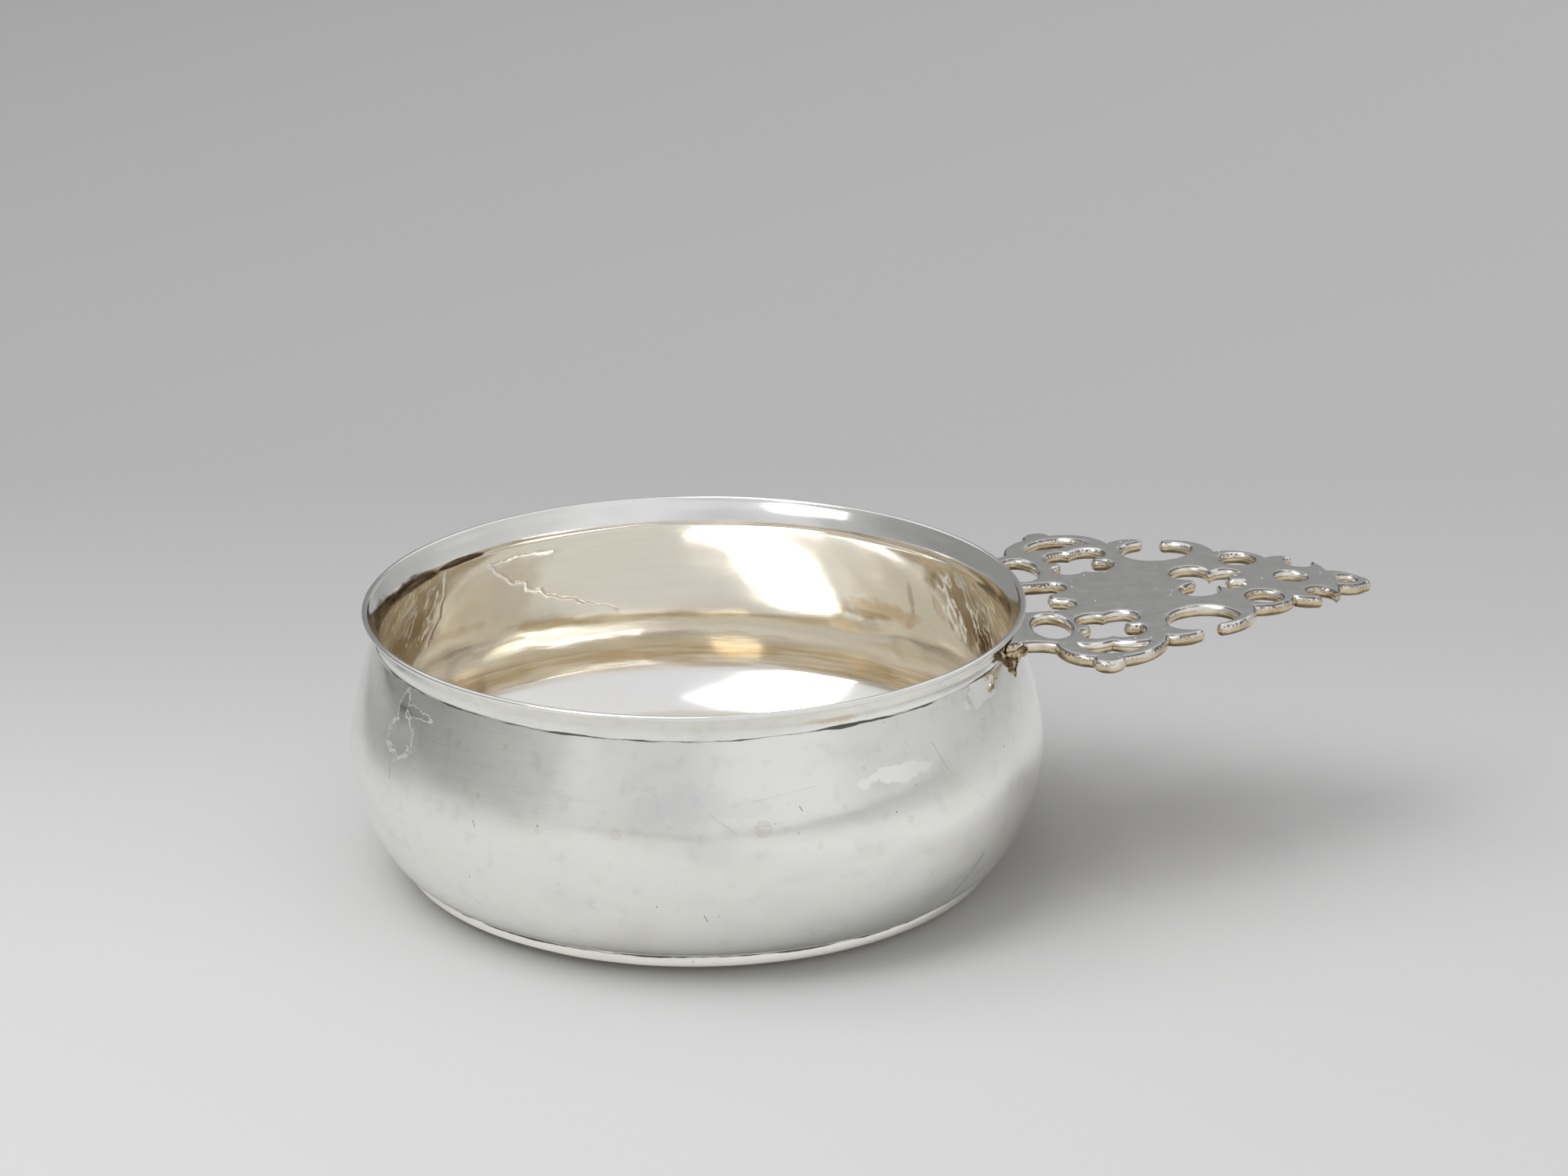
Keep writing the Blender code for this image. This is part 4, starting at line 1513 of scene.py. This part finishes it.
    def room(self, points: np.ndarray, away: np.ndarray, ends: np.ndarray, most: float) -> np.ndarray:
        """Finds how far each point of the edge can move before it meets the edge across a notch.

        Args:
            points: The edge's points.
            away: The direction in which each one moves.
            ends: The next point of the edge after each one.
            most: How far it may move at most.

        Returns:
            The distances.
        """
        room = np.zeros(len(points))
        open_still = np.ones(len(points), bool)
        for step in np.linspace(0.0, most, 7)[1:]:
            gap = self.clearance(points[open_still] + step * away[open_still], points, ends)
            free = np.flatnonzero(open_still)[gap > 0.93 * step]
            open_still[:] = False
            open_still[free] = True
            room[free] = step
        return room

    def fill(self, loops: list[np.ndarray], spacing: float) -> tuple[np.ndarray, np.ndarray]:
        """Fills a pierced outline with triangles.

        Args:
            loops: The outline and its piercings.
            spacing: Distance between the points that are added inside.

        Returns:
            All points, with the loops' points first, in order, and the triangles.
        """
        border = np.concatenate(loops)
        ends = np.concatenate([np.roll(loop, -1, 0) for loop in loops])
        low, high = border.min(0), border.max(0)
        columns = np.arange(low[0], high[0], spacing)
        rows = np.arange(low[1], high[1], 0.866 * spacing)
        grid = np.array([(x + 0.5 * spacing * (k % 2), y) for k, y in enumerate(rows) for x in columns])
        grid = grid[self.covered(grid, border, ends)]
        grid = grid[self.clearance(grid, border, ends) > 0.45 * spacing]
        points = np.concatenate([border, grid])
        edges = []
        for loop in loops:
            base = len(edges)
            edges += [(base + k, base + (k + 1) % len(loop)) for k in range(len(loop))]
        found = delaunay_2d_cdt([Vector(p) for p in points], edges, [], 0, 1e-7)
        origin = [first[0] if first else -1 for first in found[3]]
        corners = np.array([[origin[k] for k in face] for face in found[2]])
        corners = corners[(corners >= 0).all(1)]
        inside = self.covered(points[corners].mean(1), border, ends)
        return points, corners[inside]

    @staticmethod
    def covered(points: np.ndarray, starts: np.ndarray, ends: np.ndarray) -> np.ndarray:
        """Tells whether points lie on the metal, by how many edges lie above them.

        Args:
            points: The points.
            starts: Where the edges start.
            ends: Where they end.

        Returns:
            True for each point on the metal.
        """
        result = np.empty(len(points), bool)
        for first in range(0, len(points), 512):
            some = points[first:first + 512, None, :]
            crosses = (starts[:, 0] > some[..., 0]) != (ends[:, 0] > some[..., 0])
            run = ends[:, 0] - starts[:, 0]
            run = np.where(np.abs(run) < 1e-15, 1e-15, run)
            height = starts[:, 1] + (some[..., 0] - starts[:, 0]) * (ends[:, 1] - starts[:, 1]) / run
            result[first:first + 512] = (crosses & (height > some[..., 1])).sum(1) % 2 == 1
        return result

    def rings(self, loops: list[np.ndarray]) -> list[np.ndarray]:
        """Moves the loops out and in, as the plate's rounded edge does.

        Args:
            loops: The outline and its piercings.

        Returns:
            The points of all loops at each step of the edge, from the top down.
        """
        away = np.concatenate([self.away_from_metal(loop, k > 0) for k, loop in enumerate(loops)])
        border = np.concatenate(loops)
        ends = np.concatenate([np.roll(loop, -1, 0) for loop in loops])
        outward = max(out for out, _ in self.edge) * MM
        inward = -min(out for out, _ in self.edge) * MM
        room_out = self.room(border, away, ends, outward)
        room_in = self.room(border, -away, ends, inward)
        shifts = [np.clip(out * MM, -room_in, room_out) for out, _ in self.edge]
        return [border + shift[:, None] * away for shift in shifts]

    def edge_faces(self, sizes: list[int]) -> list[tuple[int, int, int, int]]:
        """Joins the rings of the plate's rounded edge.

        Args:
            sizes: How many points each loop has.

        Returns:
            Each face's corners.
        """
        count = sum(sizes)
        faces = []
        base = 0
        for size in sizes:
            for k in range(size):
                here, there = base + k, base + (k + 1) % size
                faces += [(ring + here, ring + there, ring + count + there, ring + count + here)
                          for ring in range(0, count * (len(self.edge) - 1), count)]
            base += size
        return faces

    def build(self) -> bpy.types.Object:
        """Makes the handle.

        Returns:
            The finished piece.
        """
        loops = [np.array([tuple(p) for p in loop]) for loop in [self.outline()] + self.piercings()]
        sizes = [len(loop) for loop in loops]
        count = sum(sizes)
        cuts = np.cumsum(sizes)[:-1]
        rings = self.rings(loops)
        top_points, top_faces = self.fill(np.split(rings[0], cuts), self.fill_step)
        low_points, low_faces = self.fill(np.split(rings[-1], cuts), 2.0 * self.fill_step)
        top_extra, low_extra = top_points[count:], low_points[count:]
        deepest = self.edge[-1][1]
        plan = np.concatenate(rings + [top_extra, low_extra])
        depth = np.concatenate([np.full(count, deep) for _, deep in self.edge]
                               + [np.zeros(len(top_extra)), np.full(len(low_extra), deepest)])
        top_start = count * len(rings)
        low_start = top_start + len(top_extra)
        last = top_start - count
        faces = [[k if k < count else top_start + k - count for k in face] for face in top_faces.tolist()]
        faces += [[last + k if k < count else low_start + k - count for k in face][::-1]
                  for face in low_faces.tolist()]
        faces += self.edge_faces(sizes)
        height = self.top_height(plan[:, 0]) - depth * MM
        axis = self.view.axis()
        places = np.column_stack([plan[:, 0] + axis.x, plan[:, 1] + axis.y, height])
        mesh = bpy.data.meshes.new("pierced_handle")
        mesh.from_pydata(places.tolist(), [], faces)
        shade = mesh.attributes.new("depth", "FLOAT", "POINT")
        shade.data.foreach_set("value", depth / deepest)
        Bowl.face_outward(mesh)
        mesh.shade_smooth()
        mesh.set_sharp_from_angle(angle=math.radians(self.sharp_angle))
        mesh.materials.append(self.finish.material())
        return new_object("pierced_handle", mesh)


@dataclass
class Solder:
    """The seam of solder under one of the handle's pads. Sizes are in metres."""

    view: Viewpoint
    side: Side
    bowl: Bowl
    handle: Handle
    thickness: float = 0.0025
    reach: float = 0.0017
    depth: float = 0.0024
    overrun: float = 0.0006
    overlap: float = 0.4 * MM
    sunk: float = 0.00025
    steps: int = 72
    ring: int = 20
    melt: float = 0.00020
    grain: float = 0.00022
    grain_size: float = 0.0011
    # Lumps in millimetres: (past the pad's outer edge, out from the wall, below the pad, radius)
    lumps: tuple = ((-0.5, 1.2, 0.3, 1.5), (0.5, 0.6, 1.2, 1.1), (0.7, 0.45, 2.2, 0.9), (0.4, 0.3, 3.1, 0.7),
                    (0.2, 0.2, 3.8, 0.5), (0.1, 0.1, 4.5, 0.32), (-1.0, 3.2, -0.9, 1.1),
                    (-2.2, 1.0, 1.0, 1.1), (-1.3, 0.45, 2.2, 0.8), (-6.0, 0.8, 0.8, 1.0),
                    (-11.0, 0.8, 0.6, 1.0))
    lump_fineness: int = 3

    def on_wall(self, sideways: float, out: float, level: float) -> Vector:
        """Finds a place beside the wall.

        Args:
            sideways: Distance from the handle's middle.
            out: Distance out from the wall.
            level: Height above the floor.

        Returns:
            The place.
        """
        angle = self.side.value * math.asin(sideways / self.handle.back_radius)
        radius = self.bowl.wall_radius(level) + out
        axis = self.view.axis()
        return Vector((axis.x + radius * math.cos(angle), axis.y + radius * math.sin(angle), level))

    def draft(self) -> bmesh.types.BMesh:
        """Makes a smooth bead along the pad, flat against the wall, and the lumps on it.

        Returns:
            The bead and the lumps, not yet melted together.
        """
        top = self.handle.root_height - self.thickness
        first, last = self.handle.pad_inner_edge - self.overrun, self.handle.pad_outer_edge + self.overrun
        shape = bmesh.new()
        rings = []
        for k in range(self.steps + 1):
            share = k / self.steps
            swell = min(1.0, 4.0 * math.sqrt(share * (1.0 - share)))
            ring = []
            for turn in range(self.ring):
                spin = math.tau * turn / self.ring
                level = top + self.overlap - swell * self.depth * (0.5 - 0.5 * math.sin(spin))
                out = swell * self.reach * (0.35 + 0.65 * math.cos(spin)) * (0.55 + 0.45 * math.sin(spin))
                place = self.on_wall(first + (last - first) * share, max(out, -self.sunk), level)
                ring.append(shape.verts.new(place))
            rings.append(ring)
        for here, there in zip(rings, rings[1:]):
            for turn in range(self.ring):
                after = (turn + 1) % self.ring
                shape.faces.new((here[turn], here[after], there[after], there[turn]))
        shape.faces.new(rings[0])
        shape.faces.new(rings[-1])
        bmesh.ops.remove_doubles(shape, verts=shape.verts[:], dist=0.005 * MM)
        for past, out, below, size in self.lumps:
            place = self.on_wall(self.handle.pad_outer_edge + past * MM, out * MM, top - below * MM)
            bmesh.ops.create_icosphere(shape, subdivisions=self.lump_fineness, radius=size * MM,
                                       matrix=Matrix.Translation(place))
        bmesh.ops.recalc_face_normals(shape, faces=shape.faces[:])
        return shape

    def build(self, material: bpy.types.Material) -> bpy.types.Object:
        """Makes the seam.

        Args:
            material: The solder's finish.

        Returns:
            The finished piece.
        """
        name = f"solder_seam_{self.side.name.lower()}"
        shape = self.draft()
        mesh = bpy.data.meshes.new("solder_draft")
        shape.to_mesh(mesh)
        shape.free()
        draft = new_object("solder_draft", mesh)
        melting = draft.modifiers.new("melted", "REMESH")
        melting.mode = "VOXEL"
        melting.voxel_size = self.melt
        mesh = bpy.data.meshes.new_from_object(draft.evaluated_get(bpy.context.evaluated_depsgraph_get()))
        draft.modifiers.remove(melting)
        bpy.data.objects.remove(draft, do_unlink=True)
        mesh.name = name
        moved = [v.co + v.normal * self.grain * lump_noise(v.co / self.grain_size) for v in mesh.vertices]
        mesh.vertices.foreach_set("co", [x for place in moved for x in place])
        mesh.update()
        mesh.shade_smooth()
        mesh.materials.append(material)
        return new_object(name, mesh)


@dataclass(frozen=True)
class Lamp:
    """A soft light: degrees to the right of the viewer's back and above the floor, metres, and watts."""

    name: str
    side: float
    height: float
    distance: float
    size: tuple[float, float]
    power: float
    mirrored: bool


@dataclass
class Studio:
    """The floor, the soft light and the room that the silver mirrors."""

    view: Viewpoint
    floor_half: float = 3.0
    floor_drop: float = 0.0001
    lamps: tuple[Lamp, ...] = (
        Lamp("key", -53.0, 62.0, 1.5, (0.60, 1.25), 7.3, True),
        Lamp("side", -84.0, 56.0, 1.5, (1.1, 0.9), 7.1, False),
    )
    ceiling: float = 0.72
    back_ceiling: float = 0.80
    back_ceiling_drop: float = 13.0
    cool_blue: float = 1.03
    mirror_bounces: int = 12
    ceiling_start: float = 36.0
    ceiling_end: float = 50.0
    # Light that the floor gets from the room at eye level and overhead, and where it starts and stops growing
    fill_tones: tuple = (0.10, 0.95)
    fill_heights: tuple = (7.0, 66.0)
    # Where the silver mirrors the end of the pale floor on the left, and the tone beyond
    floor_end: float = -0.30
    floor_end_blur: float = 0.03
    floor_end_slants: tuple = (-0.6, -2.3)
    floor_end_depth: float = 0.06
    floor_end_fade: tuple = (0.25, 0.12)
    beyond_tone: float = 0.30
    # The room's tone at eye level: (degrees to the right of the viewer's back, tone)
    wall_tones: tuple = ((-180.0, 0.245), (-140.0, 0.26), (-120.0, 0.27), (-100.0, 0.28), (-85.0, 0.34),
                         (-72.0, 0.41), (-58.0, 0.49), (-50.0, 0.52), (-45.0, 0.66), (-39.0, 0.68),
                         (-22.0, 0.62), (-8.0, 0.61), (0.0, 0.65), (12.0, 0.73), (28.0, 0.75), (42.0, 0.74),
                         (56.0, 0.65), (74.0, 0.61), (93.0, 0.56), (110.0, 0.50), (125.0, 0.44),
                         (150.0, 0.33), (180.0, 0.245))
    # Degrees in which the room is cooler, and how far toward the viewer it turns from back to front
    cool_span: tuple = (-50.0, -44.0, 40.0, 48.0)
    front_fade: tuple = (-0.35, 0.25)
    # The floor's tone along its depth, darker behind as painted falloff of the light: (metres behind the
    # bowl, tone)
    floor_falloff_tones: tuple = ((-0.15, 0.615), (-0.05, 0.60), (0.03, 0.555), (0.13, 0.475), (0.25, 0.43),
                          (0.5, 0.445), (0.86, 0.47))
    # How much paler it gets to the right, and the depths between which that grows
    floor_slant: float = 0.42
    floor_slant_fade: tuple = (-0.05, 0.3)
    floor_roughness: float = 0.95
    floor_sheen: float = 0.1
    # How much paler the silver sees the floor close by on the right, and where that starts, is full and ends
    right_gain: float = 0.15
    right_span: tuple = (0.0, 0.12, 0.24, 0.40)

    @staticmethod
    def ramp(wires: Wiring, value: Feed, tones: tuple) -> bpy.types.NodeSocket:
        """Looks a value up in a table of grey tones.

        Args:
            wires: The wiring of the tree that needs it.
            value: What is looked up.
            tones: The table, as (value, tone).

        Returns:
            The tone, as a colour.
        """
        start, end = tones[0][0], tones[-1][0]
        inputs = {"Value": value, "From Min": start, "From Max": end}
        ramp = wires.node("ShaderNodeValToRGB", {0: wires.node("ShaderNodeMapRange", inputs).outputs[0]})
        stops = ramp.color_ramp.elements
        for stop, (_, tone) in zip(stops, (tones[0], tones[-1])):
            stop.color = (tone, tone, tone, 1.0)
        for place, tone in tones[1:-1]:
            stops.new((place - start) / (end - start)).color = (tone, tone, tone, 1.0)
        return ramp.outputs[0]

    def make_floor(self) -> bpy.types.Object:
        """Lays the floor.

        Returns:
            The floor's object.
        """
        half = self.floor_half
        mesh = bpy.data.meshes.new("floor")
        corners = [(-half, -half), (half, -half), (half, half), (-half, half)]
        mesh.from_pydata([(x, y, -self.floor_drop) for x, y in corners], [], [(0, 1, 2, 3)])
        material, wires, shader = new_material("pale_floor")
        place = wires.node("ShaderNodeTexCoord").outputs["Object"]
        off = wires.vector("SUBTRACT", place, tuple(self.view.axis())).outputs[0]
        behind = wires.dot(off, self.view.direction(0.0, 1.0, 0.0))
        right = wires.dot(off, self.view.direction(1.0, 0.0, 0.0))
        before = wires.math("MINIMUM", behind, 0.0)
        beside = wires.node("ShaderNodeClamp", {0: behind, 1: 0.0, 2: self.floor_end_depth}).outputs[0]
        slanted = wires.total(right, wires.product(before, self.floor_end_slants[0]),
                              wires.product(beside, self.floor_end_slants[1]))
        blur = self.floor_end_blur
        beyond = wires.step(slanted, self.floor_end + blur, self.floor_end - blur)
        mirrored = wires.node("ShaderNodeLightPath").outputs["Is Glossy Ray"]
        beyond = wires.product(beyond, wires.step(behind, *self.floor_end_fade), mirrored)
        slant = wires.product(right, wires.step(behind, *self.floor_slant_fade), self.floor_slant)
        tone = wires.product(self.ramp(wires, behind, self.floor_falloff_tones), wires.math("ADD", slant, 1.0))
        lit = wires.product(wires.band(right, self.right_span), mirrored)
        tone = wires.product(tone, wires.math("MULTIPLY_ADD", lit, self.right_gain, 1.0))
        dark = (self.beyond_tone, self.beyond_tone, self.beyond_tone, 1.0)
        wires.feed(shader.inputs["Base Color"], wires.tint(beyond, tone, dark))
        shader.inputs["Roughness"].default_value = self.floor_roughness
        shader.inputs["Specular IOR Level"].default_value = self.floor_sheen
        mesh.materials.append(material)
        floor = new_object("floor", mesh)
        return floor

    def hang(self, lamp: Lamp) -> bpy.types.Object:
        """Hangs a soft light that faces the bowl.

        Args:
            lamp: The light's place, size and power.

        Returns:
            The light's object.
        """
        side, height = math.radians(lamp.side), math.radians(lamp.height)
        aim = self.view.direction(math.sin(side) * math.cos(height), -math.cos(side) * math.cos(height),
                                  math.sin(height))
        data = bpy.data.lights.new(lamp.name, "AREA")
        data.shape = "RECTANGLE"
        data.size, data.size_y = lamp.size
        data.energy = lamp.power
        light = bpy.data.objects.new(lamp.name, data)
        turned = (-aim).to_track_quat("-Z", "Y").to_matrix().to_4x4()
        light.matrix_world = Matrix.Translation(self.view.axis() + aim * lamp.distance) @ turned
        light.visible_camera = False
        light.visible_glossy = lamp.mirrored
        bpy.context.scene.collection.objects.link(light)
        return light

    def make_room(self) -> None:
        """Paints the room around the object: its walls at eye level, and its ceiling."""
        world = bpy.data.worlds.new("room")
        world.use_nodes = True
        wires = Wiring(world.node_tree)
        toward = wires.node("ShaderNodeTexCoord").outputs["Generated"]
        right = wires.dot(toward, self.view.direction(1.0, 0.0, 0.0))
        front = wires.dot(toward, self.view.direction(0.0, -1.0, 0.0))
        side = wires.math("DEGREES", wires.math("ARCTAN2", right, front))
        height = wires.math("DEGREES", wires.math("ARCSINE", wires.split(toward)[2]))
        walls = self.ramp(wires, side, self.wall_tones)
        facing = wires.step(front, *self.front_fade)
        lifted = wires.math("ADD", height, wires.blend(facing, self.back_ceiling_drop, 0.0))
        above = wires.step(lifted, self.ceiling_start, self.ceiling_end)
        ceiling = wires.blend(facing, self.back_ceiling, self.ceiling)
        room = wires.blend(above, walls, ceiling)
        cool = wires.largest(wires.band(side, self.cool_span), wires.product(above, wires.other(facing)))
        room = wires.tint(cool, wires.join(room, room, room),
                          wires.join(room, room, wires.product(room, self.cool_blue)))
        fill = wires.blend(wires.step(height, *self.fill_heights), *self.fill_tones)
        path = wires.node("ShaderNodeLightPath").outputs
        shown = wires.largest(path["Is Camera Ray"], path["Is Glossy Ray"])
        wires.feed(world.node_tree.nodes["Background"].inputs["Color"], wires.tint(shown, fill, room))
        world.cycles.sampling_method = "NONE"
        bpy.context.scene.world = world

    def build(self) -> None:
        """Sets up the floor, the light and the room."""
        self.make_floor()
        for lamp in self.lamps:
            self.hang(lamp)
        self.make_room()
        bpy.context.scene.view_settings.view_transform = "Standard"
        bpy.context.scene.cycles.glossy_bounces = self.mirror_bounces


def attach(piece: bpy.types.Object, node: str) -> None:
    """Fixes a finished piece to the part in place of a solid, and reports it.

    Args:
        piece: The finished piece.
        node: The solid that it replaces.
    """
    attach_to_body(piece, BODY)
    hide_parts(node)
    piece.data.calc_loop_triangles()
    LOG.info("%s replaces %s with %d triangles", piece.name, node, len(piece.data.loop_triangles))


def main() -> None:
    """Builds the camera, the studio and every piece."""
    logging.basicConfig(level=logging.INFO, format="%(name)s: %(message)s")
    view = Viewpoint()
    view.make_camera()
    Studio(view).build()
    bowl = Bowl(view)
    handle = Handle(view)
    attach(bowl.build(), "bowl")
    attach(handle.build(), "handle")
    solder = SolderFinish().material()
    attach(Solder(view, Side.NEAR, bowl, handle).build(solder), "solder_near")
    attach(Solder(view, Side.FAR, bowl, handle).build(solder), "solder_far")


if __name__ == "__main__":
    main()
